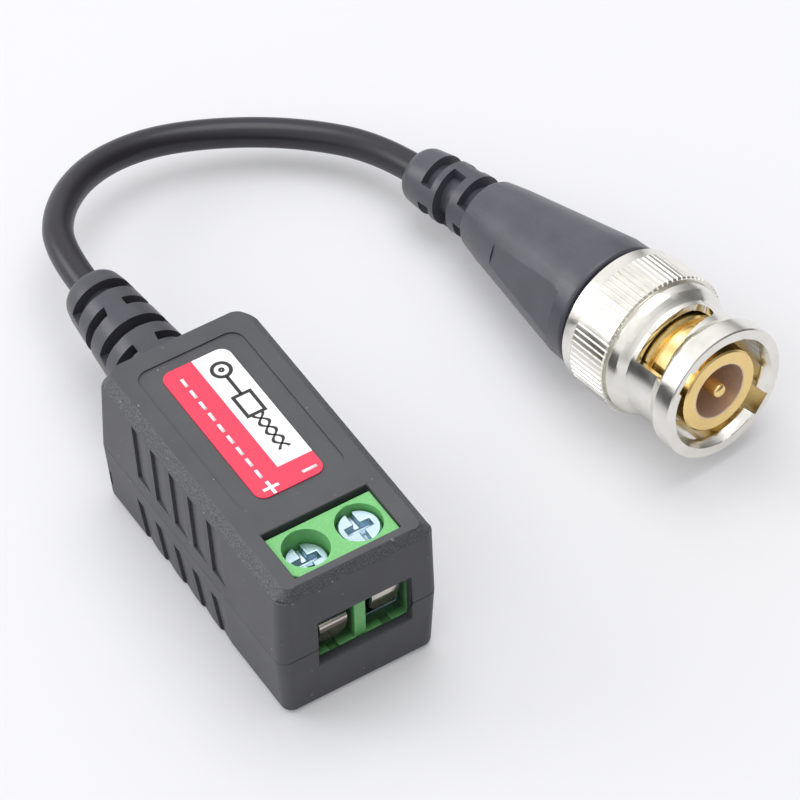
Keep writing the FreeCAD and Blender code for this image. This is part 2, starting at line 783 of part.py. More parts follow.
def build_case_relief():
    body = new_body("case_relief")
    bore = "cord_radius"
    flange = "-(back_wall + relief_flange_thick)"
    profile = [
        (flange, bore),
        (flange, "relief_flange_radius"),
        ("-back_wall", "relief_flange_radius"),
        ("-back_wall", "relief_neck_radius"),
        ("0", "relief_neck_radius"),
        ("0", "relief_root_radius"),
        ("relief_taper", "relief_tip_radius"),
        ("relief_length", "relief_nose_radius"),
        ("relief_length", bore),
    ]
    turned = sketch(body, "TurnedOutline", "XY_Plane", [profile])
    revolve(body, "Turned", turned)
    nose = (size("relief_length"), size("relief_nose_radius"))
    round_edges(body, "NoseRound", "relief_nose_round", lambda e: circle_at(e, nose[0], nose[1]))
    open_angle = "180 - relief_rib_angle"
    rows = [("RowA", "XZ_Plane", "relief_row_a", "relief_slot_long"),
            ("RowB", "XY_Plane", "relief_row_b", "relief_slot_short"),
            ("RowC", "XZ_Plane", "relief_row_c", "relief_slot_long"),
            ("RowD", "XY_Plane", "relief_row_d", "relief_slot_short")]
    for name, role, start, width in rows:
        slot_row(body, name, role, start, width, "relief_core_radius", "relief_root_radius", open_angle)
    turn = Rot(V(0, 0, 1), 180).multiply(Rot(V(1, 0, 0), size("relief_roll")))
    body.Placement = FreeCAD.Placement(V(0, 0, 0), turn)
    # the relief's shoulder lies on the drafted back wall at its own height
    body.setExpression(".Placement.Base.x", ex("-case_length/2"))
    body.setExpression(".Placement.Base.z", ex("relief_height"))
    return body


def tube(points, radius):
    """A rod of one radius along straight stretches, with ball joints between them."""
    solid = None
    for start, end in zip(points, points[1:]):
        rod = Part.makeCylinder(radius, (end - start).Length, start, end - start)
        solid = rod if solid is None else solid.fuse(rod)
    for corner in points[1:-1]:
        solid = solid.fuse(Part.makeSphere(radius, corner))
    return solid


def fixed_feature(label, shape, placement=None):
    item = doc.addObject("Part::Feature", label)
    item.Label = label
    item.Shape = shape
    item.Placement = placement or FreeCAD.Placement()
    return item


def build_case_tail():
    """The end of the lead inside the relief and the case, stripped and soldered down."""
    r = size("cord_radius")
    z = size("relief_height")
    x_out = -(size("case_length") / 2 + size("relief_length"))
    x_in = -(size("case_length") / 2 - size("back_wall") - size("relief_flange_thick")) + 0.9
    board = size("board_low") + size("board_thick")
    jacket = Part.makeCylinder(r, x_in - x_out, V(x_out, 0, z), V(1, 0, 0))
    core_end = x_in + 1.6
    dielectric = Part.makeCylinder(r * 0.54, core_end - x_in, V(x_in, 0, z), V(1, 0, 0))
    wire = tube([V(core_end - 0.2, 0, z), V(core_end + 0.9, 0, z), V(core_end + 0.9, 0, board)], r * 0.2)
    braid_y = -r * 0.72
    braid = tube([V(x_in - 0.3, braid_y, z), V(x_in + 1.4, braid_y * 1.6, z - 0.6),
                           V(x_in + 1.4, braid_y * 1.6, board)], r * 0.26)
    solid = jacket.fuse([dielectric, wire, braid]).removeSplitter()
    return fixed_feature("case_tail", solid)


# Plug: built along its own axis, x running forwards from the front rim's plane, then
# laid on the floor where it rests on the rear edge of the knurl.

def plug_placement():
    tilt = math.radians(size("plug_tilt"))
    rest = size("knurl_end") * math.sin(tilt) + size("knurl_radius") * math.cos(tilt)
    turn = Rot(V(0, 0, 1), size("plug_heading")).multiply(Rot(V(0, 1, 0), -size("plug_tilt")))
    return FreeCAD.Placement(V(size("plug_x"), size("plug_y"), rest), turn)


PLUG = plug_placement()


def turned_piece(label, profile):
    body = new_body(label)
    outline = sketch(body, "TurnedOutline", "XY_Plane", [profile])
    revolve(body, "Turned", outline)
    body.Placement = PLUG
    return body


def ring_piece(label, front, back, inner, outer):
    return turned_piece(label, [("-(%s)" % front, inner), ("-(%s)" % front, outer),
                                ("-(%s)" % back, outer), ("-(%s)" % back, inner)])


def build_contact_sleeve():
    profile = [
        ("-sleeve_front", "sleeve_inner"),
        ("-sleeve_front", "sleeve_outer - sleeve_edge"),
        ("-(sleeve_front + sleeve_edge)", "sleeve_outer"),
        ("-collar_front", "sleeve_outer"),
        ("-collar_front", "collar_radius - sleeve_edge"),
        ("-(collar_front + sleeve_edge)", "collar_radius"),
        ("-collar_back", "collar_radius"),
        ("-collar_back", "hub_radius"),
        ("-hub_end", "hub_radius"),
        ("-hub_end", "stub_radius"),
        ("-stub_end", "stub_radius"),
        ("-stub_end", "stub_bore"),
        ("-insulator_back", "stub_bore"),
        ("-insulator_back", "sleeve_inner"),
    ]
    return turned_piece("contact_sleeve", profile)


def build_centre_pin():
    body = turned_piece("centre_pin", [("-pin_front", "0"), ("-pin_front", "pin_radius"),
                                       ("-pin_back", "pin_radius"), ("-pin_back", "0")])
    front = -size("pin_front")
    radius = size("pin_radius")
    round_edges(body, "TipRound", "pin_round", lambda e: circle_at(e, front, radius))
    return body


def build_spring_washer():
    """A dished spring washer between the collar and the flat washer."""
    inner = "hub_radius + run_fit"
    outer = "washer_outer - 0.15"
    profile = [
        ("-collar_back", outer),
        ("-(collar_back + spring_thick)", outer),
        ("-spring_back", inner),
        ("-(spring_back - spring_thick)", inner),
    ]
    return turned_piece("spring_washer", profile)


def build_nut_blank():
    body = new_body("nut_blank")
    profile = [
        ("0", "rim_mouth_radius"),
        ("0", "rim_radius - nut_edge/2"),
        ("-nut_edge/2", "rim_radius"),
        ("-rim_width", "rim_radius"),
        ("-(rim_width + rim_slope)", "neck_radius"),
        ("-neck_end", "neck_radius"),
        ("-(neck_end + shoulder_end)/2", "shoulder_radius"),
        ("-shoulder_end", "shoulder_radius + 0.2"),
        ("-shoulder_end", "shoulder_radius"),
        ("-knurl_start", "shoulder_radius"),
        ("-knurl_start", "knurl_radius - nut_edge/2"),
        ("-(knurl_start + nut_edge/2)", "knurl_radius"),
        ("-knurl_end", "knurl_radius"),
        ("-knurl_end", "nut_tail_radius"),
        ("-(nut_length - nut_edge)", "nut_tail_radius"),
        ("-nut_length", "nut_tail_radius - nut_edge"),
        ("-nut_length", "nut_cavity"),
        ("-nut_lip_back", "nut_cavity"),
        ("-nut_lip_back", "hub_radius + run_fit"),
        ("-nut_lip_front", "hub_radius + run_fit"),
        ("-nut_lip_front", "nut_bore"),
        ("-rim_bevel", "nut_bore"),
    ]
    outline = sketch(body, "TurnedOutline", "XY_Plane", [profile])
    revolve(body, "Turned", outline)
    channel = sketch(body, "ChannelOutline", "YZ_Plane",
                     [rectangle("-channel_width/2", "channel_width/2", "nut_bore*0.8", "channel_radius"),
                      rectangle("-channel_width/2", "channel_width/2", "-channel_radius", "-nut_bore*0.8")],
                     turn=Rot(V(0, 0, 1), size("channel_angle")))
    pocket(body, "EntryChannels", channel, "rim_width + rim_slope")
    return body


def bayonet_window(spin):
    """One bayonet slot: its front edge climbs like a screw from the entry to the round catch."""
    inner = size("nut_bore") - 0.5
    outer = size("rim_radius") + 0.4
    rear = -size("window_rear")
    start = size("window_start_angle")
    end = size("window_end_angle")
    wide = -size("window_wide_front")
    tight = -size("window_tight_front")
    steps = 6
    wires = []
    for i in range(steps + 1):
        share = i / steps
        angle = start + (end - start) * share
        front = wide + (tight - wide) * share
        corners = [V(rear, 0, inner), V(front, 0, inner), V(front, 0, outer), V(rear, 0, outer)]
        wire = Part.makePolygon(corners + corners[:1])
        wire.rotate(V(0, 0, 0), V(1, 0, 0), angle + spin)
        wires.append(wire)
    ramp = Part.makeLoft(wires, True, True)
    middle = (rear + tight) / 2
    catch = Part.makeCylinder((tight - rear) / 2, outer - inner, V(middle, 0, inner), V(0, 0, 1))
    catch.rotate(V(0, 0, 0), V(1, 0, 0), end + spin)
    return ramp.fuse(catch)


def build_coupling_nut():
    blank = build_nut_blank()
    cutters = []
    for index, spin in enumerate((0, 180)):
        item = doc.addObject("Part::Feature", "BayonetWindow%d" % (index + 1))
        item.Shape = bayonet_window(spin)
        cutters.append(item)
    both = doc.addObject("Part::MultiFuse", "BayonetWindows")
    both.Shapes = cutters
    nut = doc.addObject("Part::Cut", "coupling_nut")
    nut.Base = blank
    nut.Tool = both
    nut.Label = "coupling_nut"
    nut.Placement = PLUG
    return nut


def build_ferrule():
    profile = [
        ("-ferrule_front", "stub_radius"),
        ("-ferrule_front", "stub_radius + ferrule_wall"),
        ("-ferrule_step", "stub_radius + ferrule_wall"),
        ("-(ferrule_step + 0.8)", "cord_radius + ferrule_wall"),
        ("-ferrule_back", "cord_radius + ferrule_wall"),
        ("-ferrule_back", "cord_radius"),
        ("-(ferrule_step + 0.3)", "cord_radius"),
        ("-ferrule_step", "stub_radius"),
    ]
    return turned_piece("crimp_ferrule", profile)


def build_boot_handle():
    body = new_body("boot_handle")
    profile = [
        ("-boot_spigot_front", "0"),
        ("-boot_spigot_front", "boot_spigot_radius"),
        ("-boot_front", "boot_spigot_radius"),
        ("-boot_front", "boot_lip_radius"),
        ("-(boot_front + 2.4)", "boot_lip_radius - 0.08"),
        ("-boot_waist", "boot_waist_radius"),
        ("-boot_end", "boot_end_radius"),
        ("-boot_end", "0"),
    ]
    outline = sketch(body, "TurnedOutline", "XY_Plane", [profile])
    revolve(body, "Turned", outline)
    end = (-size("boot_end"), size("boot_end_radius"))
    front = (-size("boot_front"), size("boot_lip_radius"))
    round_edges(body, "EndRound", "boot_edge",
                lambda e: circle_at(e, end[0], end[1]) or circle_at(e, front[0], front[1]))
    panel = [("-panel_back", "panel_back_height"), ("-panel_front", "panel_front_height"),
             ("-panel_front", "boot_lip_radius + 1"), ("-panel_back", "boot_lip_radius + 1")]
    other = [(x, "-(%s)" % y) for x, y in panel]
    thumb = sketch(body, "PanelOutline", "XY_Plane", [panel, other])
    pocket(body, "ThumbPanels", thumb, "panel_width", centred=True)
    return body


def build_boot_relief():
    body = new_body("boot_relief")
    profile = [
        ("-0.6", "0"),
        ("-0.6", "tail_relief_core"),
        ("0", "tail_relief_core"),
        ("0", "tail_relief_radius"),
        ("tail_relief_length - 3.2", "tail_relief_radius - 0.1"),
        ("tail_relief_length", "tail_relief_nose"),
        ("tail_relief_length", "0"),
    ]
    outline = sketch(body, "TurnedOutline", "XY_Plane", [profile])
    revolve(body, "Turned", outline)
    nose = (size("tail_relief_length"), size("tail_relief_nose"))
    round_edges(body, "NoseRound", "tail_relief_nose_round", lambda e: circle_at(e, nose[0], nose[1]))
    open_angle = "180 - tail_rib_angle"
    rows = [("RowA", "XZ_Plane", "tail_row_a", "tail_slot_short"),
            ("RowB", "XY_Plane", "tail_row_b", "tail_slot_long"),
            ("RowC", "XZ_Plane", "tail_row_c", "tail_slot_short")]
    for name, role, start, width in rows:
        slot_row(body, name, role, start, width, "tail_relief_core", "tail_relief_radius", open_angle)
    return body


def relief_joint():
    """Where the boot's flexible end starts, and the way it points after the lead's pull."""
    joint = PLUG.multVec(V(-size("boot_end"), 0, 0))
    heading = size("plug_heading") + size("tail_relief_bend")
    turn = Rot(V(0, 0, 1), heading).multiply(Rot(V(0, 1, 0), -size("plug_tilt")))
    return joint, turn


def jacket_in_boot():
    """The jacket from the boot's tip to the crimp, with its slight knee at the relief's root."""
    joint, turn = relief_joint()
    tip = joint + turn.multVec(V(-1, 0, 0)) * size("tail_relief_length")
    crimp = PLUG.multVec(V(-size("ferrule_step") - 0.3, 0, 0))
    return tube([tip, joint, crimp], size("cord_radius")), crimp


def build_boot_cavity():
    """The room in the boot for the sleeve's hub, its stub and the crimped ferrule."""
    profile = [
        ("-(boot_spigot_front - 0.5)", "0"),
        ("-(boot_spigot_front - 0.5)", "hub_radius"),
        ("-hub_end", "hub_radius"),
        ("-hub_end", "stub_radius"),
        ("-ferrule_front", "stub_radius"),
        ("-ferrule_front", "stub_radius + ferrule_wall"),
        ("-ferrule_step", "stub_radius + ferrule_wall"),
        ("-(ferrule_step + 0.8)", "cord_radius + ferrule_wall"),
        ("-ferrule_back", "cord_radius + ferrule_wall"),
        ("-ferrule_back", "0"),
    ]
    return turned_piece("boot_cavity", profile)


def build_plug_boot():
    handle = build_boot_handle()
    roll = Rot(V(1, 0, 0), size("boot_roll"))
    handle.Placement = FreeCAD.Placement(PLUG.Base, PLUG.Rotation.multiply(roll))
    relief = build_boot_relief()
    joint, turn = relief_joint()
    backwards = turn.multiply(roll).multiply(Rot(V(0, 0, 1), 180))
    relief.Placement = FreeCAD.Placement(joint, backwards)
    whole = doc.addObject("Part::MultiFuse", "BootWhole")
    whole.Shapes = [handle, relief]
    jacket = doc.addObject("Part::Feature", "JacketBore")
    jacket.Shape = jacket_in_boot()[0]
    bore = doc.addObject("Part::MultiFuse", "BootBore")
    bore.Shapes = [build_boot_cavity(), jacket]
    boot = doc.addObject("Part::Cut", "plug_boot")
    boot.Base = whole
    boot.Tool = bore
    boot.Refine = True
    boot.Label = "plug_boot"
    return boot


def build_plug_tail():
    """The end of the lead inside the boot: jacket, bared insulation and centre wire."""
    jacket, crimp = jacket_in_boot()
    forward = PLUG.Rotation.multVec(V(1, 0, 0))
    bare = PLUG.multVec(V(-size("hub_end") - 0.2, 0, 0))
    insulation = Part.makeCylinder(size("stub_bore") - 0.04, (bare - crimp).Length, crimp, forward)
    end = PLUG.multVec(V(-size("pin_back"), 0, 0))
    wire = Part.makeCylinder(size("cord_radius") * 0.2, (end - bare).Length, bare, forward)
    return fixed_feature("plug_tail", jacket.fuse([insulation, wire]).removeSplitter())


# Free stretch of the lead: straight runs joined by arcs as large as the runs allow.

def cord_route():
    joint, turn = relief_joint()
    back = turn.multVec(V(-1, 0, 0))
    tip = joint + back * size("tail_relief_length")
    start = V(-(size("case_length") / 2 + size("relief_length")), 0, size("relief_height"))
    return [start] + [V(*p) for p in CORD_POINTS] + [tip + back * CORD_LAST_RUN, tip]


def cord_path(points):
    edges = []
    here = points[0]
    radii = []
    for before, corner, after in zip(points, points[1:], points[2:]):
        a = corner - before
        b = after - corner
        turn = a.getAngle(b)
        radius = CORD_FILL * min(a.Length, b.Length) / math.tan(turn / 2)
        reach = radius * math.tan(turn / 2)
        a.normalize()
        b.normalize()
        first = corner - a * reach
        last = corner + b * reach
        inward = (b - a).normalize()
        middle = corner + inward * (radius / math.cos(turn / 2) - radius)
        edges.append(Part.LineSegment(here, first).toShape())
        edges.append(Part.Arc(first, middle, last).toShape())
        here = last
        radii.append(radius)
    edges.append(Part.LineSegment(here, points[-1]).toShape())
    return Part.Wire(edges), radii


def build_cord():
    radius = size("cord_radius")
    points = cord_route()
    wire, radii = cord_path(points)
    ring = Part.Wire(Part.makeCircle(radius, points[0], points[1] - points[0]))
    solid = wire.makePipeShell([ring], True, False)
    expected = math.pi * radius ** 2 * wire.Length
    print("cord length %.2f mm, radii %s" % (wire.Length, ", ".join("%.1f" % value for value in radii)))
    print("cord volume %.3f mm3, section times length %.3f mm3" % (solid.Volume, expected))
    if abs(solid.Volume - expected) > 0.01 * expected:
        raise RuntimeError("the cord's volume is not its section times its length")
    return fixed_feature("cord", solid)


PIECES = [
    build_case_lower(),
    build_case_upper(),
    build_label(),
    build_terminal_body(),
    build_terminal_cage("terminal_cage_1", -1),
    build_terminal_cage("terminal_cage_2", 1),
    build_wire_guard("wire_guard_1", -1, "screw_top_left"),
    build_wire_guard("wire_guard_2", 1, "screw_top_right"),
    build_terminal_screw("terminal_screw_1", -1, "screw_top_left"),
    build_terminal_screw("terminal_screw_2", 1, "screw_top_right"),
    build_board(),
    build_core(),
    build_winding("winding_1", 1),
    build_winding("winding_2", -1),
    build_block("surge_suppressor", "-(case_length/2 - surge_inset)", "%s - surge_gap" % CAVITY_Y,
                "surge_length", "surge_width", "surge_height"),
    build_block("chip_capacitor", "-(case_length/2 - chip_inset)", "-(%s - chip_gap)" % CAVITY_Y,
                "chip_length", "chip_width", "chip_height"),
    build_case_relief(),
    build_case_tail(),
    build_cord(),
    build_plug_tail(),
    build_plug_boot(),
    build_ferrule(),
    build_contact_sleeve(),
    ring_piece("insulator", "insulator_front", "insulator_back", "pin_radius", "sleeve_inner"),
    build_centre_pin(),
    build_spring_washer(),
    ring_piece("flat_washer", "spring_back", "nut_lip_front", "hub_radius + run_fit", "washer_outer"),
    ring_piece("retaining_ring", "ring_front", "ring_back", "hub_radius", "ring_outer"),
    build_coupling_nut(),
]

doc.recompute()
faults = [obj.Label for obj in doc.Objects if {"Invalid", "Error"} & set(obj.State)]
for piece in PIECES:
    shape = piece.Shape
    if shape.isNull() or not shape.isValid() or len(shape.Solids) != 1:
        faults.append(piece.Label)
if faults:
    raise RuntimeError("failed: " + ", ".join(faults))

os.makedirs("parts", exist_ok=True)
for piece in PIECES:
    piece.Shape.exportStep(os.path.join("parts", piece.Label + ".step"))
    print("%-18s %9.3f mm3" % (piece.Label, piece.Shape.Volume))
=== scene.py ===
"""Looks of a video balun: a black two-part case with a green screw terminal, and a short lead
that ends in a nickel bayonet plug. Laid out as an add-on, one operator for each group of pieces."""

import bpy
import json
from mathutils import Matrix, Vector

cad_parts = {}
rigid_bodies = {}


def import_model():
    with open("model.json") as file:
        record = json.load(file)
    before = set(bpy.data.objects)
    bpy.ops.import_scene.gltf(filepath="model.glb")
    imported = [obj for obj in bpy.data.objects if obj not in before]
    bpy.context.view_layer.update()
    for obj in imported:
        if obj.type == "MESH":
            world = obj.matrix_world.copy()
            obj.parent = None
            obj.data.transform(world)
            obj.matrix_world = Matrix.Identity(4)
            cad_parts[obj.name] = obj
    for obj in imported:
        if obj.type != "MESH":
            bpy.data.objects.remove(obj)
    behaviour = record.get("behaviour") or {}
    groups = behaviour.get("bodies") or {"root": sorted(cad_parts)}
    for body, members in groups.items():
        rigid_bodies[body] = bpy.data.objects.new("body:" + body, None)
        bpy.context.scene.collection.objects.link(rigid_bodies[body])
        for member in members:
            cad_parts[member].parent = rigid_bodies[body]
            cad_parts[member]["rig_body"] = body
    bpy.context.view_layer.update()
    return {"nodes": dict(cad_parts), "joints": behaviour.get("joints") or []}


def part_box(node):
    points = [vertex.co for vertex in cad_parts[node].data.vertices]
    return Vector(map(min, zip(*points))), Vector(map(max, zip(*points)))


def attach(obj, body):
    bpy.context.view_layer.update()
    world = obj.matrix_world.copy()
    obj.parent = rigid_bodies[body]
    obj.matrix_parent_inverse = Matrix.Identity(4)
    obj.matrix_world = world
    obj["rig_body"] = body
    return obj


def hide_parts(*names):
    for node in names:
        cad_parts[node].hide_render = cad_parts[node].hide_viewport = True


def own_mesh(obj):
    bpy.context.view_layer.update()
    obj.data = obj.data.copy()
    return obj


bl_info = {
    "name": "Video balun looks",
    "version": (1, 0, 0),
    "blender": (4, 5, 0),
    "location": "3D View > Sidebar > Balun",
    "description": "Dresses the packed video balun with its detail pieces and finishes",
    "category": "Object",
}

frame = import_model()

import json
import math

import bmesh
import bpy
from bpy.props import FloatProperty, FloatVectorProperty, IntProperty, PointerProperty
from mathutils import Matrix, Vector

MM = 0.001
ROOT = "balun"
NODES = frame["nodes"]
JOINTS = {joint["name"]: joint for joint in frame["joints"]}

# Points closer than this are one point.
SAME_POINT = 0.0005 * MM

# A face wider than this is a flat, and is shaded as one.
FLAT_WIDTH = 0.9 * MM

# Edges of a CAD node that turn by more than this are rounded, in this many steps.
SHARP_TURN = math.radians(24.0)
ROUNDING_STEPS = 3

# The plug's own frame: its x axis runs forwards out of the plug, with 0 at the rim.
PIVOT_TO_RIM = 7.0 * MM
PLUG_AXIS = Vector(JOINTS["nut_turn"]["axis"]).normalized()
PLUG_RIM = Vector(JOINTS["nut_turn"]["pos_m"]) + PLUG_AXIS * PIVOT_TO_RIM
PLUG_HEADING = math.atan2(PLUG_AXIS.y, PLUG_AXIS.x)
PLUG_TILT = math.asin(PLUG_AXIS.z)
PLUG_TURN = Matrix.Rotation(PLUG_HEADING, 4, "Z") @ Matrix.Rotation(-PLUG_TILT, 4, "Y")
PLUG_PLACE = Matrix.Translation(PLUG_RIM) @ PLUG_TURN

# The contact sleeve's surface nearer to the axis than this is its bore, which is painted with shade.
BORE_RADIUS = 2.76 * MM

# The boot's flexible end leaves the plug's line by this much, towards the lead.
RELIEF_BEND = math.radians(6.0)
BOOT_END = 31.5 * MM
RELIEF_LENGTH = 9.0 * MM
RELIEF_ROOT = PLUG_PLACE @ Vector((-BOOT_END, 0, 0))
RELIEF_TURN = Matrix.Rotation(PLUG_HEADING + RELIEF_BEND, 4, "Z") @ Matrix.Rotation(-PLUG_TILT, 4, "Y")
RELIEF_TIP = RELIEF_ROOT + RELIEF_TURN @ Vector((-RELIEF_LENGTH, 0, 0))

# The lead's route, the same points as the solid tube's before rounding.
LEAD_START = Vector((-29.8, 0.0, 7.55)) * MM
LEAD_POINTS = [
    LEAD_START,
    Vector((-35.30, 0.00, 7.55)) * MM,
    Vector((-40.45, 2.80, 6.80)) * MM,
    Vector((-44.35, 7.90, 5.60)) * MM,
    Vector((-45.60, 14.40, 4.40)) * MM,
    Vector((-43.75, 21.20, 3.60)) * MM,
    Vector((-39.80, 27.60, 3.30)) * MM,
    RELIEF_TIP + RELIEF_TURN @ Vector((-5.0 * MM, 0, 0)),
    RELIEF_TIP,
]


# Finishes

class Finish:
    """A procedural material, built up from a Principled shader."""

    def __init__(self, name, colour, roughness, metallic=0.0, **inputs):
        self.material = bpy.data.materials.new(name)
        self.material.use_nodes = True
        self.tree = self.material.node_tree
        self.shader = self.tree.nodes["Principled BSDF"]
        self.set(**{"Base Color": (*colour, 1.0), "Roughness": roughness, "Metallic": metallic})
        self.set(**inputs)
        self.place = self.node("ShaderNodeTexCoord").outputs["Object"]

    def set(self, **inputs):
        for key, value in inputs.items():
            self.shader.inputs[key].default_value = value

    def node(self, kind, inputs=(), **settings):
        item = self.tree.nodes.new(kind)
        for key, value in settings.items():
            setattr(item, key, value)
        for key, value in dict(inputs).items():
            if isinstance(value, bpy.types.NodeSocket):
                self.tree.links.new(value, item.inputs[key])
            else:
                item.inputs[key].default_value = value
        return item

    def feed(self, socket, name):
        self.tree.links.new(socket, self.shader.inputs[name])

    def math(self, operation, a, b=0.0):
        return self.node("ShaderNodeMath", {0: a, 1: b}, operation=operation).outputs[0]

    def noise(self, size, detail=2.0, rough=0.5):
        return self.node("ShaderNodeTexNoise", {"Vector": self.place, "Scale": 1.0 / size,
                                                "Detail": detail, "Roughness": rough}).outputs["Fac"]

    def span(self, value, low, high, out_low=0.0, out_high=1.0):
        return self.node("ShaderNodeMapRange", {"Value": value, "From Min": low, "From Max": high,
                                                "To Min": out_low, "To Max": out_high}).outputs["Result"]

    def blend(self, share, a, b):
        mixer = self.node("ShaderNodeMix", data_type="RGBA")
        for index, value in ((0, share), (6, a), (7, b)):
            if isinstance(value, bpy.types.NodeSocket):
                self.tree.links.new(value, mixer.inputs[index])
            else:
                mixer.inputs[index].default_value = value if index == 0 else (*value, 1.0)
        return mixer.outputs[2]

    def bump(self, height, strength, depth, under=None):
        inputs = {"Height": height, "Strength": strength, "Distance": depth}
        if under is not None:
            inputs["Normal"] = under
        return self.node("ShaderNodeBump", inputs).outputs["Normal"]

    def axes(self):
        split = self.node("ShaderNodeSeparateXYZ", {"Vector": self.place})
        return split.outputs[0], split.outputs[1], split.outputs[2]

    def along_plug(self):
        """The distance along the plug's axis, from the rim."""
        place = self.node("ShaderNodeVectorMath", {0: self.place, 1: PLUG_RIM}, operation="SUBTRACT")
        axis = tuple(PLUG_AXIS)
        return self.node("ShaderNodeVectorMath", {0: place.outputs[0], 1: axis},
                         operation="DOT_PRODUCT").outputs["Value"]

    def from_plug(self):
        """The distance from the plug's axis."""
        place = self.node("ShaderNodeVectorMath", {0: self.place, 1: PLUG_RIM}, operation="SUBTRACT")
        across = self.node("ShaderNodeVectorMath", {0: place.outputs[0], 1: tuple(PLUG_AXIS)},
                           operation="CROSS_PRODUCT")
        return self.node("ShaderNodeVectorMath", {0: across.outputs[0]},
                         operation="LENGTH").outputs["Value"]


def shade(colour, factor):
    return tuple(channel * factor for channel in colour)


def moulded(name, colour, roughness, grain=0.12 * MM, relief=0.3, mottle=0.12, dust=0.0,
            inside=None, **inputs):
    """A moulded plastic or rubber: fine grain, faint mottling and, where asked, specks of dust.

    Where inside is given, it takes the finish and returns the share of shade in a recess.
    """
    finish = Finish(name, colour, roughness, **inputs)
    cloud = finish.noise(3.0 * MM, 3.0)
    fine = finish.noise(grain, 3.0, 0.6)
    share = finish.span(cloud, 0.3, 0.7)
    base = finish.blend(share, shade(colour, 1 - mottle), shade(colour, 1 + mottle))
    grainy = finish.span(fine, 0.35, 0.7)
    base = finish.blend(finish.math("MULTIPLY", grainy, 0.35), base, shade(colour, 1.35))
    if dust:
        specks = finish.span(finish.noise(0.45 * MM, 1.0), 0.76, 0.79)
        base = finish.blend(finish.math("MULTIPLY", specks, dust), base, (0.45, 0.45, 0.46))
    if inside:
        base = finish.blend(inside(finish), base, shade(colour, 0.22))
    finish.feed(base, "Base Color")
    finish.feed(finish.span(fine, 0.2, 0.8, roughness - 0.05, roughness + 0.08), "Roughness")
    finish.feed(finish.bump(fine, relief, 0.02 * MM), "Normal")
    return finish.material


def case_plastic(looks):
    """Black plastic with a fine grain; the raised band round the roof has a coarse sparked texture."""
    colour = tuple(looks.case_colour)
    finish = Finish("case_plastic", colour, 0.5, **{"Specular IOR Level": 0.45})
    x, y, z = finish.axes()
    low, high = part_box("case_upper")
    front_width, rear_margin, roof_skin = 0.56 * MM, 0.42 * MM, 0.015 * MM
    above = finish.math("GREATER_THAN", z, high.z - looks.band_height * 0.97)
    below = finish.math("LESS_THAN", z, high.z - roof_skin)
    beside = finish.math("GREATER_THAN", finish.math("ABSOLUTE", y), looks.roof_half_width)
    front = finish.math("GREATER_THAN", x, high.x - front_width)
    ahead = finish.math("GREATER_THAN", x, low.x + rear_margin)
    edge = finish.math("MULTIPLY", finish.math("MAXIMUM", beside, front), ahead)
    band = finish.math("MULTIPLY", finish.math("MULTIPLY", above, below), edge)
    fine = finish.noise(0.10 * MM, 3.0, 0.6)
    coarse = finish.noise(0.13 * MM, 2.5, 0.6)
    cloud = finish.noise(5.0 * MM, 3.0)
    base = finish.blend(finish.span(cloud, 0.3, 0.7), shade(colour, 0.9), shade(colour, 1.12))
    grainy = finish.math("MULTIPLY", finish.span(fine, 0.5, 0.75), 0.35)
    base = finish.blend(grainy, base, shade(colour, 1.9))
    sparked = finish.blend(finish.span(coarse, 0.40, 0.65), shade(colour, 0.8), shade(colour, 1.7))
    base = finish.blend(band, base, sparked)
    dust = finish.span(finish.noise(0.5 * MM, 1.0), 0.765, 0.785)
    base = finish.blend(finish.math("MULTIPLY", dust, 0.5), base, (0.35, 0.35, 0.36))
    finish.feed(base, "Base Color")
    finish.feed(finish.span(fine, 0.2, 0.8, 0.46, 0.60), "Roughness")
    grain = finish.bump(fine, 0.35, 0.02 * MM)
    strength = finish.math("MULTIPLY", band, 0.6)
    finish.feed(finish.bump(coarse, strength, 0.05 * MM, grain), "Normal")
    return finish.material


def plated(name, colour, roughness, lathe=False, haze=0.08, dents=0.15, painted_shade_mask=None,
           painted_shade_colour=(0.15, 0.12, 0.10)):
    """A plated metal: soft haze in its gloss, faint handling marks and, where turned, tool lines.

    A painted shade mask may be given: it takes the finish and returns the share of painted shade, a
    darker and less glossy colour.
    """
    finish = Finish(name, colour, roughness, metallic=1.0)
    cloud = finish.noise(1.6 * MM, 3.0)
    base = finish.blend(finish.span(cloud, 0.3, 0.7), shade(colour, 0.93), shade(colour, 1.03))
    if painted_shade_mask:
        # Painted shade: the darker colour blends in and the surface turns less metallic where the mask
        # says.
        share = painted_shade_mask(finish)
        base = finish.blend(share, base, painted_shade_colour)
        finish.feed(finish.span(share, 0.0, 1.0, 1.0, 0.55), "Metallic")
    finish.feed(base, "Base Color")
    finish.feed(finish.span(cloud, 0.25, 0.75, roughness - haze, roughness + haze), "Roughness")
    normal = finish.bump(finish.noise(0.9 * MM, 2.0), dents, 0.02 * MM)
    if lathe:
        turns = finish.node("ShaderNodeTexNoise",
                            {"W": finish.along_plug(), "Scale": 9000.0, "Detail": 2.0},
                            noise_dimensions="1D").outputs["Fac"]
        normal = finish.bump(turns, 0.25, 0.006 * MM, normal)
    finish.feed(normal, "Normal")
    return finish.material


def printed(name, colour):
    """Ink on a plastic film, with the film's slight waviness."""
    finish = Finish(name, colour, 0.38, **{"Specular IOR Level": 0.4})
    cloud = finish.noise(2.5 * MM, 2.0)
    base = finish.blend(finish.span(cloud, 0.3, 0.7), shade(colour, 0.97), shade(colour, 1.03))
    finish.feed(base, "Base Color")
    finish.feed(finish.bump(finish.noise(0.15 * MM, 2.0), 0.12, 0.008 * MM), "Normal")
    return finish.material


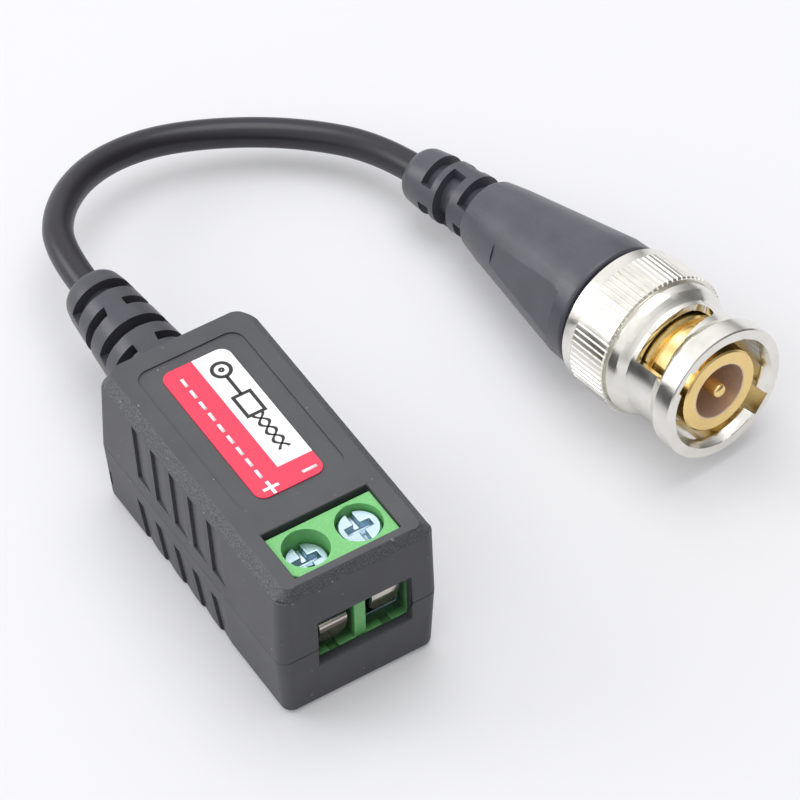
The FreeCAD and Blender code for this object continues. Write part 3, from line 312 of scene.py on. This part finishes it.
def laminate_board():
    """Green solder mask over a faint weave."""
    finish = Finish("solder_mask", (0.012, 0.10, 0.045), 0.35)
    weave = finish.noise(0.35 * MM, 2.0)
    base = finish.blend(finish.span(weave, 0.3, 0.7), (0.008, 0.075, 0.033), (0.018, 0.13, 0.06))
    finish.feed(base, "Base Color")
    finish.feed(finish.bump(weave, 0.2, 0.01 * MM), "Normal")
    return finish.material


# Shapes

def paint(item, material):
    item.data.materials.clear()
    item.data.materials.append(material)
    return item


def width(face):
    return face.calc_area() / max(side.calc_length() for side in face.edges)


def smooth(bm, angle=30.0):
    """Shades curved faces smooth and leaves broad flats and sharp edges crisp."""
    for face in bm.faces:
        face.smooth = width(face) < FLAT_WIDTH
    for side in bm.edges:
        side.smooth = side.calc_face_angle(0.0) < math.radians(angle)


def new_piece(name, bm, material, body, angle=30.0):
    """Turns a finished bmesh into a piece that rides on one body."""
    smooth(bm, angle)
    mesh = bpy.data.meshes.new(name)
    bm.to_mesh(mesh)
    bm.free()
    piece = bpy.data.objects.new(name, mesh)
    bpy.context.scene.collection.objects.link(piece)
    paint(piece, material)
    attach(piece, body)
    return piece


def clean_copy(node):
    """The CAD node's surface with its doubled points merged and its flats made whole."""
    bm = bmesh.new()
    bm.from_mesh(NODES[node].data)
    bmesh.ops.remove_doubles(bm, verts=bm.verts, dist=SAME_POINT)
    bmesh.ops.dissolve_limit(bm, angle_limit=math.radians(0.6), verts=bm.verts, edges=bm.edges)
    return bm


def round_over(bm, edge):
    """Rounds the sharp edges whose faces are wide enough to take the rounding."""
    sharp = [side for side in bm.edges
             if len(side.link_faces) == 2 and side.calc_face_angle(0.0) > SHARP_TURN
             and min(width(face) for face in side.link_faces) > 2.5 * edge]
    bmesh.ops.bevel(bm, geom=sharp, offset=edge, offset_type="OFFSET", affect="EDGES",
                    segments=ROUNDING_STEPS, profile=0.5, material=-1, clamp_overlap=False)


def softened(node, material, edge):
    """A copy of a CAD node with its sharp edges rounded, standing in its place."""
    bm = clean_copy(node)
    round_over(bm, edge)
    piece = new_piece(node + "_dressed", bm, material, NODES[node]["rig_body"])
    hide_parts(node)
    return piece


def turned(name, profile, place, material, body, steps):
    """A closed profile of (along, radius) points spun about its x axis and put in place."""
    bm = bmesh.new()
    points = [bm.verts.new((along, 0.0, radius)) for along, radius in profile]
    edges = [bm.edges.new((points[i], points[(i + 1) % len(points)])) for i in range(len(points))]
    bmesh.ops.spin(bm, geom=points + edges, cent=(0, 0, 0), axis=(1, 0, 0), angle=math.tau,
                   steps=steps, use_merge=True, use_duplicate=False)
    bmesh.ops.remove_doubles(bm, verts=bm.verts, dist=SAME_POINT)
    bmesh.ops.transform(bm, matrix=place, verts=bm.verts)
    bmesh.ops.recalc_face_normals(bm, faces=bm.faces)
    return new_piece(name, bm, material, body)


def slab(bm, outline, low, high):
    """A flat plate with the given outline, between two heights."""
    base = bm.faces.new([bm.verts.new((x, y, low)) for x, y in outline])
    grown = bmesh.ops.extrude_face_region(bm, geom=[base])
    raised = [v for v in grown["geom"] if isinstance(v, bmesh.types.BMVert)]
    bmesh.ops.translate(bm, vec=(0, 0, high - low), verts=raised)
    bmesh.ops.recalc_face_normals(bm, faces=bm.faces)


def bar(bm, x0, x1, y0, y1, low, high):
    """A rectangular plate between two heights."""
    slab(bm, [(x0, y0), (x1, y0), (x1, y1), (x0, y1)], low, high)


def round_corners(x0, x1, y0, y1, radii, steps=6):
    """The outline of a rectangle whose corners have the given radii, from the low corner round."""
    outline = []
    corners = ((x0, y0, 180), (x1, y0, 270), (x1, y1, 0), (x0, y1, 90))
    for (x, y, start), radius in zip(corners, radii):
        cx = x + radius if x == x0 else x - radius
        cy = y + radius if y == y0 else y - radius
        if radius == 0:
            outline.append((x, y))
            continue
        for step in range(steps + 1):
            turn = math.radians(start + 90.0 * step / steps)
            outline.append((cx + radius * math.cos(turn), cy + radius * math.sin(turn)))
    return outline


# Settings

def length_setting(name, description, default):
    return FloatProperty(name=name, description=description, default=default, min=0.0,
                         unit="LENGTH", subtype="DISTANCE", precision=6)


def colour_setting(name, description, default):
    return FloatVectorProperty(name=name, description=description, default=default, size=3,
                               min=0.0, max=1.0, subtype="COLOR")


class BalunCaseLooks(bpy.types.PropertyGroup):
    """Finish and edge sizes of the case, its label and its terminal"""
    case_colour: colour_setting("Case colour", "Colour of the case's black plastic",
                                (0.066, 0.067, 0.074))
    band_height: length_setting("Band height", "Height of the sparked band round the roof", 1.0 * MM)
    roof_half_width: length_setting("Roof half width", "Half the roof's width inside the band",
                                    6.56 * MM)
    case_edge: length_setting("Case edge", "Rounding of the case's edges", 0.14 * MM)
    red: colour_setting("Label red", "Red ink of the label", (0.90, 0.045, 0.10))
    white: colour_setting("Label white", "White ink of the label", (0.86, 0.86, 0.88))
    ink: length_setting("Ink thickness", "Thickness of each printed layer", 0.008 * MM)
    green: colour_setting("Terminal green", "Colour of the terminal's plastic", (0.17, 0.50, 0.17))
    zinc: colour_setting("Zinc", "Colour of the zinc plating", (0.48, 0.61, 0.70))
    guard: colour_setting("Wire guard", "Colour of the wire guards' darker plating", (0.62, 0.58, 0.52))


class BalunLeadLooks(bpy.types.PropertyGroup):
    """Finish and sizes of the lead, its strain reliefs and its plug"""
    jacket: colour_setting("Jacket colour", "Colour of the lead's jacket", (0.015, 0.013, 0.020))
    relief: colour_setting("Relief colour", "Colour of the strain relief and the boot",
                           (0.066, 0.066, 0.084))
    lead_radius: length_setting("Lead radius", "Radius of the lead's jacket", 1.4 * MM)
    relief_edge: length_setting("Relief edge", "Rounding of the reliefs' ribs", 0.12 * MM)
    nickel: colour_setting("Nickel", "Colour of the nickel plating", (0.86, 0.84, 0.78))
    gold: colour_setting("Gold", "Colour of the gold plating", (0.95, 0.70, 0.30))
    knurl_teeth: IntProperty(name="Knurl teeth", description="Teeth round the coupling nut",
                             default=76, min=12)
    knurl_depth: length_setting("Knurl depth", "Depth of the knurl's grooves", 0.13 * MM)
    knurl_start: length_setting("Knurl start", "Distance from the rim to the knurl", 8.15 * MM)
    knurl_end: length_setting("Knurl end", "Distance from the rim to the knurl's rear", 12.30 * MM)
    knurl_radius: length_setting("Knurl radius", "Radius over the knurl's teeth", 6.85 * MM)


# Operators

class BALUN_OT_case(bpy.types.Operator):
    """Dress the two halves of the case"""
    bl_idname = "balun.case"
    bl_label = "Case"

    def execute(self, context):
        looks = context.scene.balun_case
        plastic = case_plastic(looks)
        for node in ("case_lower", "case_upper"):
            softened(node, plastic, looks.case_edge)
        return {"FINISHED"}


class BALUN_OT_label(bpy.types.Operator):
    """Print the label: a red film with a white field and plain signs"""
    bl_idname = "balun.label"
    bl_label = "Label"

    def execute(self, context):
        looks = context.scene.balun_case
        red = printed("label_red", tuple(looks.red))
        white = printed("label_white", tuple(looks.white))
        black = printed("label_black", (0.02, 0.02, 0.02))
        paint(NODES["label"], red)
        low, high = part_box("label")
        top = high.z
        ink = looks.ink
        field = bmesh.new()
        outline = round_corners(low.x, 2.5 * MM, -0.1 * MM, high.y, (0, 0, 0, 1.0 * MM))
        slab(field, outline, top - ink, top + ink)
        new_piece("label_field", field, white, ROOT)
        signs = bmesh.new()
        self.coax_sign(signs, top, ink)
        new_piece("label_signs", signs, black, ROOT)
        marks = bmesh.new()
        self.polarity_marks(marks, top - ink, top + ink)
        new_piece("label_polarity", marks, white, ROOT)
        return {"FINISHED"}

    def polarity_marks(self, bm, low, high):
        """A plus and a minus beside the terminal, and a row of dashes along the label."""
        thin, far = 0.15 * MM, 0.75 * MM
        plus = [(far, -thin), (far, thin), (thin, thin), (thin, far), (-thin, far), (-thin, thin),
                (-far, thin), (-far, -thin), (-thin, -thin), (-thin, -far), (thin, -far), (thin, -thin)]
        slab(bm, [(4.09 * MM + x, -1.69 * MM + y) for x, y in plus], low, high)
        bar(bm, 3.92 * MM, 4.22 * MM, 1.35 * MM, 2.75 * MM, low, high)
        for step in range(9):
            start, end = -10.2 + 1.5 * step, -9.2 + 1.5 * step
            bar(bm, start * MM, end * MM, -1.95 * MM, -1.65 * MM, low, high)

    def coax_sign(self, bm, top, ink):
        """A plain diagram: a coaxial socket, a line, a box and a twisted pair, in millimetres."""
        def ring(cx, cy, outer, inner):
            made = []
            for radius in (outer, inner):
                circle = bmesh.ops.create_circle(bm, segments=28, radius=radius * MM,
                                                 matrix=Matrix.Translation((cx * MM, cy * MM, top)))
                made += list({e for v in circle["verts"] for e in v.link_edges})
            faces = bmesh.ops.bridge_loops(bm, edges=made)["faces"]
            raise_faces(faces)

        def raise_faces(faces):
            grown = bmesh.ops.extrude_face_region(bm, geom=faces)
            lifted = [v for v in grown["geom"] if isinstance(v, bmesh.types.BMVert)]
            bmesh.ops.translate(bm, vec=(0, 0, 2 * ink), verts=lifted)

        def line(x0, x1, y0, y1):
            bar(bm, x0 * MM, x1 * MM, y0 * MM, y1 * MM, top, top + 2 * ink)

        y = 1.55
        ring(-9.3, y, 0.98, 0.64)
        ring(-9.3, y, 0.28, 0.05)
        line(-8.4, -6.1, y - 0.16, y + 0.16)
        for x0, x1, y0, y1 in ((-6.2, -3.4, y - 0.98, y - 0.66), (-6.2, -3.4, y + 0.66, y + 0.98),
                               (-6.2, -5.88, y - 0.66, y + 0.66), (-3.72, -3.4, y - 0.66, y + 0.66)):
            line(x0, x1, y0, y1)
        for phase in (0.0, math.pi):
            previous = None
            for step in range(33):
                x = -3.4 + 4.4 * step / 32
                offset = 0.45 * math.cos(phase + math.tau * step / 16)
                here = [bm.verts.new((x * MM, (y + offset - 0.15) * MM, top)),
                        bm.verts.new((x * MM, (y + offset + 0.15) * MM, top))]
                if previous:
                    face = bm.faces.new((previous[0], here[0], here[1], previous[1]))
                    raise_faces([face])
                previous = here


class BALUN_OT_terminal(bpy.types.Operator):
    """Dress the screw terminal: body, cages, wire guards and screws"""
    bl_idname = "balun.terminal"
    bl_label = "Screw terminal"

    def execute(self, context):
        looks = context.scene.balun_case
        green = moulded("terminal_green", tuple(looks.green), 0.36, grain=0.3 * MM, relief=0.12,
                        mottle=0.05, inside=self.inside, **{"Subsurface Weight": 0.25,
                                                            "Subsurface Scale": 0.6 * MM,
                                                            "Subsurface Radius": (0.4, 1.0, 0.4)})
        zinc = plated("zinc_plating", tuple(looks.zinc), 0.34, haze=0.12, dents=0.5)
        softened("terminal_body", green, 0.10 * MM)
        for node in ("terminal_cage_1", "terminal_cage_2"):
            softened(node, zinc, 0.06 * MM)
        # The guards' plates carry painted shade: darker and less metallic below their bright top edge.
        guard_painted_shade = plated("guard_plating", tuple(looks.guard), 0.22, haze=0.06, dents=0.25,
                      painted_shade_mask=self.below_edge)
        for node in ("wire_guard_1", "wire_guard_2"):
            softened(node, guard_painted_shade, 0.06 * MM)
        for node in ("terminal_screw_1", "terminal_screw_2"):
            softened(node, zinc, 0.10 * MM)
        return {"FINISHED"}

    def inside(self, finish):
        """The share of shade in the wire entries, which grows inwards from the face and downwards."""
        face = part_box("terminal_body")[1].x
        lit_depth, dark_depth = 0.1 * MM, 0.8 * MM
        lit_height, dark_height = 10.6 * MM, 9.9 * MM
        x, _, z = finish.axes()
        deep = finish.span(x, face - lit_depth, face - dark_depth)
        return finish.math("MULTIPLY", deep, finish.span(z, lit_height, dark_height))

    def below_edge(self, finish):
        """The share of painted shade on a guard's plate, under its bright top edge."""
        bright_height, dark_height = 7.60 * MM, 7.45 * MM
        return finish.span(finish.axes()[2], bright_height, dark_height)


class BALUN_OT_board(bpy.types.Operator):
    """Finish the circuit board and the parts on it"""
    bl_idname = "balun.board"
    bl_label = "Circuit board"

    def execute(self, context):
        paint(NODES["circuit_board"], laminate_board())
        paint(NODES["transformer_core"], moulded("ferrite", (0.035, 0.034, 0.036), 0.55, dust=0.2))
        copper = plated("enamelled_wire", (0.72, 0.30, 0.13), 0.3)
        for node in ("winding_1", "winding_2"):
            paint(NODES[node], copper)
        paint(NODES["surge_suppressor"], moulded("component_black", (0.018, 0.018, 0.02), 0.4))
        paint(NODES["chip_capacitor"], moulded("ceramic_body", (0.42, 0.27, 0.14), 0.5))
        return {"FINISHED"}


class BALUN_OT_lead(bpy.types.Operator):
    """Lay the lead and dress its strain reliefs"""
    bl_idname = "balun.lead"
    bl_label = "Lead"

    def execute(self, context):
        looks = context.scene.balun_lead
        jacket = moulded("jacket_black", tuple(looks.jacket), 0.32, grain=0.2 * MM, relief=0.10,
                         mottle=0.06)
        rubber = moulded("relief_black", tuple(looks.relief), 0.34, grain=0.16 * MM, relief=0.2,
                         mottle=0.16)
        darker = moulded("relief_case_black", shade(tuple(looks.relief), 0.80), 0.34, grain=0.16 * MM,
                         relief=0.2, mottle=0.16)
        for node in ("case_tail", "plug_tail"):
            paint(NODES[node], jacket)
        softened("case_relief", darker, looks.relief_edge)
        softened("plug_boot", rubber, looks.relief_edge)
        curve = bpy.data.curves.new("lead", "CURVE")
        curve.dimensions = "3D"
        spline = curve.splines.new("NURBS")
        spline.points.add(len(LEAD_POINTS) - 1)
        for point, place in zip(spline.points, LEAD_POINTS):
            point.co = (*place, 1.0)
        spline.order_u = 3
        spline.use_endpoint_u = True
        curve.resolution_u = 24
        curve.bevel_depth = looks.lead_radius
        curve.bevel_resolution = 10
        curve.use_fill_caps = True
        curve.materials.append(jacket)
        lead = bpy.data.objects.new("lead", curve)
        context.scene.collection.objects.link(lead)
        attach(lead, ROOT)
        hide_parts("cord")
        return {"FINISHED"}


class BALUN_OT_plug(bpy.types.Operator):
    """Dress the bayonet plug: nut with its knurl, contacts and insulator"""
    bl_idname = "balun.plug"
    bl_label = "Bayonet plug"

    def execute(self, context):
        looks = context.scene.balun_lead
        nickel = plated("nickel_plating", tuple(looks.nickel), 0.22, lathe=True, haze=0.06)
        gold = plated("gold_plating", tuple(looks.gold), 0.24, lathe=True, haze=0.06, dents=0.1)
        steel = plated("spring_steel", (0.62, 0.62, 0.62), 0.3)
        # The pale insulator is coloured taupe: painted shade of the deep bore, with reflected gold.
        brown = moulded("insulator_brown", (0.62, 0.47, 0.36), 0.35, relief=0.1, mottle=0.05)
        # The sleeve's bore carries painted shade: a taupe, less metallic colour.
        bore = plated("gold_plating_bore", tuple(looks.gold), 0.24, lathe=True, haze=0.06, dents=0.1,
                      painted_shade_mask=self.bore, painted_shade_colour=(0.78, 0.60, 0.47))
        softened("contact_sleeve", bore, 0.05 * MM)
        paint(NODES["insulator"], brown)
        paint(NODES["crimp_ferrule"], nickel)
        for node in ("flat_washer", "retaining_ring"):
            paint(NODES[node], steel)
        spring = new_piece("spring_washer_dressed", clean_copy("spring_washer"), steel, ROOT)
        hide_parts("spring_washer")
        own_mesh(spring)
        pin = turned("centre_contact", self.pin_profile(), PLUG_PLACE, gold, ROOT, steps=40)
        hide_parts("centre_pin")
        self.nut(looks, nickel)
        self.knurl(looks, nickel)
        return {"FINISHED"}

    def bore(self, finish):
        """The share of painted shade, a darker colour, in the contact sleeve's bore."""
        return finish.math("LESS_THAN", finish.from_plug(), BORE_RADIUS)

    def pin_profile(self):
        """The centre pin with its rounded tip."""
        back, front, radius = -11.4 * MM, -0.25 * MM, 0.675 * MM
        return [(back, 0), (back, radius), (front - 0.40 * MM, radius), (front - 0.22 * MM, 0.61 * MM),
                (front - 0.08 * MM, 0.45 * MM), (front - 0.02 * MM, 0.22 * MM), (front, 0)]

    def nut(self, looks, nickel):
        """The nut's own surface; its knurled band is drawn in so that the teeth stand on it."""
        nut = softened("coupling_nut", nickel, 0.07 * MM)
        back = PLUG_PLACE.inverted()
        rear, front = -looks.knurl_end - 0.01 * MM, -looks.knurl_start + 0.12 * MM
        outer = looks.knurl_radius - 0.15 * MM
        floor = looks.knurl_radius - looks.knurl_depth - 0.05 * MM
        for vertex in nut.data.vertices:
            local = back @ vertex.co
            radius = math.hypot(local.y, local.z)
            if rear < local.x < front and radius > outer:
                share = floor / radius
                vertex.co = PLUG_PLACE @ Vector((local.x, local.y * share, local.z * share))

    def knurl(self, looks, nickel):
        """Straight teeth round the nut: wide flats with narrow grooves between them."""
        start, end = -looks.knurl_start, -looks.knurl_end
        chamfer, steps = 0.12 * MM, 6
        foot = looks.knurl_radius - looks.knurl_depth
        inner = foot - 0.15 * MM
        bm = bmesh.new()
        upright = Matrix.Translation((start, 0, 0)) @ Matrix.Rotation(math.radians(90), 4, "Y")
        bmesh.ops.create_circle(bm, segments=looks.knurl_teeth * steps,
                                radius=looks.knurl_radius - chamfer, matrix=upright)
        pitch = math.tau / (looks.knurl_teeth * steps)
        for vertex in bm.verts:
            if round(math.atan2(vertex.co.z, vertex.co.y) / pitch) % steps == 0:
                self.reach(vertex, start, foot - chamfer)
        edges = list(bm.edges)
        for along, lift in ((start - chamfer, chamfer), (end + chamfer, 0.0), (end, -chamfer)):
            edges = self.drawn(bm, edges, along, lambda radius: radius + lift)
        edges = self.drawn(bm, edges, end, lambda radius: inner)
        self.drawn(bm, edges, start, lambda radius: inner)
        bmesh.ops.bridge_loops(bm, edges=[side for side in bm.edges if side.is_boundary])
        bmesh.ops.transform(bm, matrix=PLUG_PLACE, verts=bm.verts)
        bmesh.ops.recalc_face_normals(bm, faces=bm.faces)
        new_piece("nut_knurl", bm, nickel, "nut", angle=20.0)

    def reach(self, vertex, along, radius):
        """Moves a point to a place along the plug's axis and a radius from it."""
        share = radius / math.hypot(vertex.co.y, vertex.co.z)
        vertex.co = Vector((along, vertex.co.y * share, vertex.co.z * share))

    def drawn(self, bm, edges, along, change):
        """Draws a ring of edges on to the next place; change gives the new radius from the old."""
        grown = bmesh.ops.extrude_edge_only(bm, edges=edges)["geom"]
        for vertex in (g for g in grown if isinstance(g, bmesh.types.BMVert)):
            self.reach(vertex, along, change(math.hypot(vertex.co.y, vertex.co.z)))
        return [g for g in grown if isinstance(g, bmesh.types.BMEdge) and g.is_boundary]


class BALUN_OT_declare(bpy.types.Operator):
    bl_idname = "balun.declare_lead"
    bl_label = "Declare the lead"

    def execute(self, context):
        objects = bpy.data.objects
        on_lead = [objects[name] for name in ("case_relief_dressed", "plug_boot_dressed",
                                              "contact_sleeve_dressed", "coupling_nut_dressed",
                                              "nut_knurl", "centre_contact", "spring_washer_dressed")]
        on_lead += [NODES[name] for name in ("case_tail", "plug_tail", "crimp_ferrule", "insulator",
                                             "flat_washer", "retaining_ring")]
        return {"FINISHED"}


class BALUN_OT_stage(bpy.types.Operator):
    """Set the pale floor, the soft lamps and the camera"""
    bl_idname = "balun.stage"
    bl_label = "Stage"

    def execute(self, context):
        scene = context.scene
        scene.view_settings.view_transform = "Standard"
        self.floor()
        self.world(scene)
        self.lamp("overhead", Vector((-0.10, 0.10, 0.62)), 0.50, 1.6)
        self.lamp("left_side", Vector((-0.45, -0.45, 0.35)), 0.40, 1.3)
        self.camera(scene)
        return {"FINISHED"}

    def floor(self):
        bm = bmesh.new()
        bmesh.ops.create_grid(bm, x_segments=2, y_segments=2, size=3.0)
        mesh = bpy.data.meshes.new("floor")
        bm.to_mesh(mesh)
        bm.free()
        floor = bpy.data.objects.new("floor", mesh)
        floor.location.z = -0.00002
        bpy.context.scene.collection.objects.link(floor)
        finish = Finish("floor_white", (0.60, 0.60, 0.62), 0.6)
        glow = finish.node("ShaderNodeEmission", {"Color": (0.98, 0.985, 1.0, 1.0), "Strength": 0.16})
        light = finish.node("ShaderNodeLightPath")
        seen = finish.math("MAXIMUM", light.outputs["Is Camera Ray"], light.outputs["Is Glossy Ray"])
        dark = finish.node("ShaderNodeEmission", {"Strength": 0.0})
        pick = finish.node("ShaderNodeMixShader", {0: seen, 1: dark.outputs[0], 2: glow.outputs[0]})
        both = finish.node("ShaderNodeAddShader", {0: finish.shader.outputs[0], 1: pick.outputs[0]})
        output = finish.tree.nodes["Material Output"]
        finish.tree.links.new(both.outputs[0], output.inputs["Surface"])
        paint(floor, finish.material)

    def world(self, scene):
        world = bpy.data.worlds.new("studio")
        scene.world = world
        world.use_nodes = True
        tree = world.node_tree
        back = tree.nodes["Background"]
        place = tree.nodes.new("ShaderNodeTexCoord")
        toward = tree.nodes.new("ShaderNodeVectorMath")
        toward.operation = "DOT_PRODUCT"
        toward.inputs[1].default_value = Vector((-0.45, -0.50, 0.74)).normalized()
        spread = tree.nodes.new("ShaderNodeMapRange")
        spread.inputs["From Min"].default_value = -1.0
        ramp = tree.nodes.new("ShaderNodeValToRGB")
        tree.links.new(place.outputs["Generated"], toward.inputs[0])
        tree.links.new(toward.outputs["Value"], spread.inputs["Value"])
        tree.links.new(spread.outputs["Result"], ramp.inputs[0])
        tree.links.new(ramp.outputs[0], back.inputs["Color"])
        stops = ramp.color_ramp.elements
        stops[0].position, stops[0].color = 0.0, (0.30, 0.29, 0.28, 1.0)
        stops[1].position, stops[1].color = 1.0, (1.0, 1.0, 1.0, 1.0)
        for position, level in ((0.36, 0.15), (0.52, 0.34), (0.70, 0.95)):
            stops.new(position).color = (level, level, level * 1.01, 1.0)
        back.inputs["Strength"].default_value = 1.05

    def lamp(self, name, place, size, power):
        """A round white lamp that points at the part."""
        target = Vector((0.0, 0.01, 0.0))
        light = bpy.data.lights.new(name, "AREA")
        light.shape = "DISK"
        light.size = size
        light.energy = power
        lamp = bpy.data.objects.new(name, light)
        lamp.location = place
        lamp.rotation_euler = (target - place).to_track_quat("-Z", "Y").to_euler()
        bpy.context.scene.collection.objects.link(lamp)

    def camera(self, scene):
        """The photograph's view: far off and long, 48 degrees above the floor."""
        place = Vector((0.242456, -0.132647, 0.327724))
        target = Vector((-0.0044938, 0.0160340, 0.007))
        forward = (target - place).normalized()
        right = forward.cross(Vector((0, 0, 1))).normalized()
        upward = right.cross(forward)
        roll = Matrix.Rotation(math.radians(-1.4757), 3, -forward)
        right, upward = roll @ right, roll @ upward
        data = bpy.data.cameras.new("camera")
        data.lens = 227.34
        data.sensor_width = 36.0
        data.clip_start = 0.01
        camera = bpy.data.objects.new("camera", data)
        turned_to = Matrix((right, upward, -forward)).transposed().to_4x4()
        camera.matrix_world = Matrix.Translation(place) @ turned_to
        scene.collection.objects.link(camera)
        scene.camera = camera


class BALUN_PT_looks(bpy.types.Panel):
    """Lists the balun's operators and settings in the sidebar"""
    bl_idname = "BALUN_PT_looks"
    bl_label = "Video balun"
    bl_space_type = "VIEW_3D"
    bl_region_type = "UI"
    bl_category = "Balun"

    def draw(self, context):
        column = self.layout.column()
        for operator in STEPS:
            column.operator(operator.bl_idname)
        for looks in (context.scene.balun_case, context.scene.balun_lead):
            for name in looks.bl_rna.properties.keys():
                if name not in ("rna_type", "name"):
                    column.prop(looks, name)


STEPS = (BALUN_OT_lead, BALUN_OT_case, BALUN_OT_label, BALUN_OT_terminal, BALUN_OT_board, BALUN_OT_plug,
         BALUN_OT_declare, BALUN_OT_stage)
CLASSES = (BalunCaseLooks, BalunLeadLooks, *STEPS, BALUN_PT_looks)


def register():
    for item in CLASSES:
        bpy.utils.register_class(item)
    bpy.types.Scene.balun_case = PointerProperty(type=BalunCaseLooks)
    bpy.types.Scene.balun_lead = PointerProperty(type=BalunLeadLooks)


def unregister():
    del bpy.types.Scene.balun_lead
    del bpy.types.Scene.balun_case
    for item in reversed(CLASSES):
        bpy.utils.unregister_class(item)


def main():
    register()
    bpy.ops.balun.lead()
    bpy.ops.balun.case()
    bpy.ops.balun.label()
    bpy.ops.balun.terminal()
    bpy.ops.balun.board()
    bpy.ops.balun.plug()
    bpy.ops.balun.declare_lead()
    bpy.ops.balun.stage()


if __name__ == "__main__":
    main()
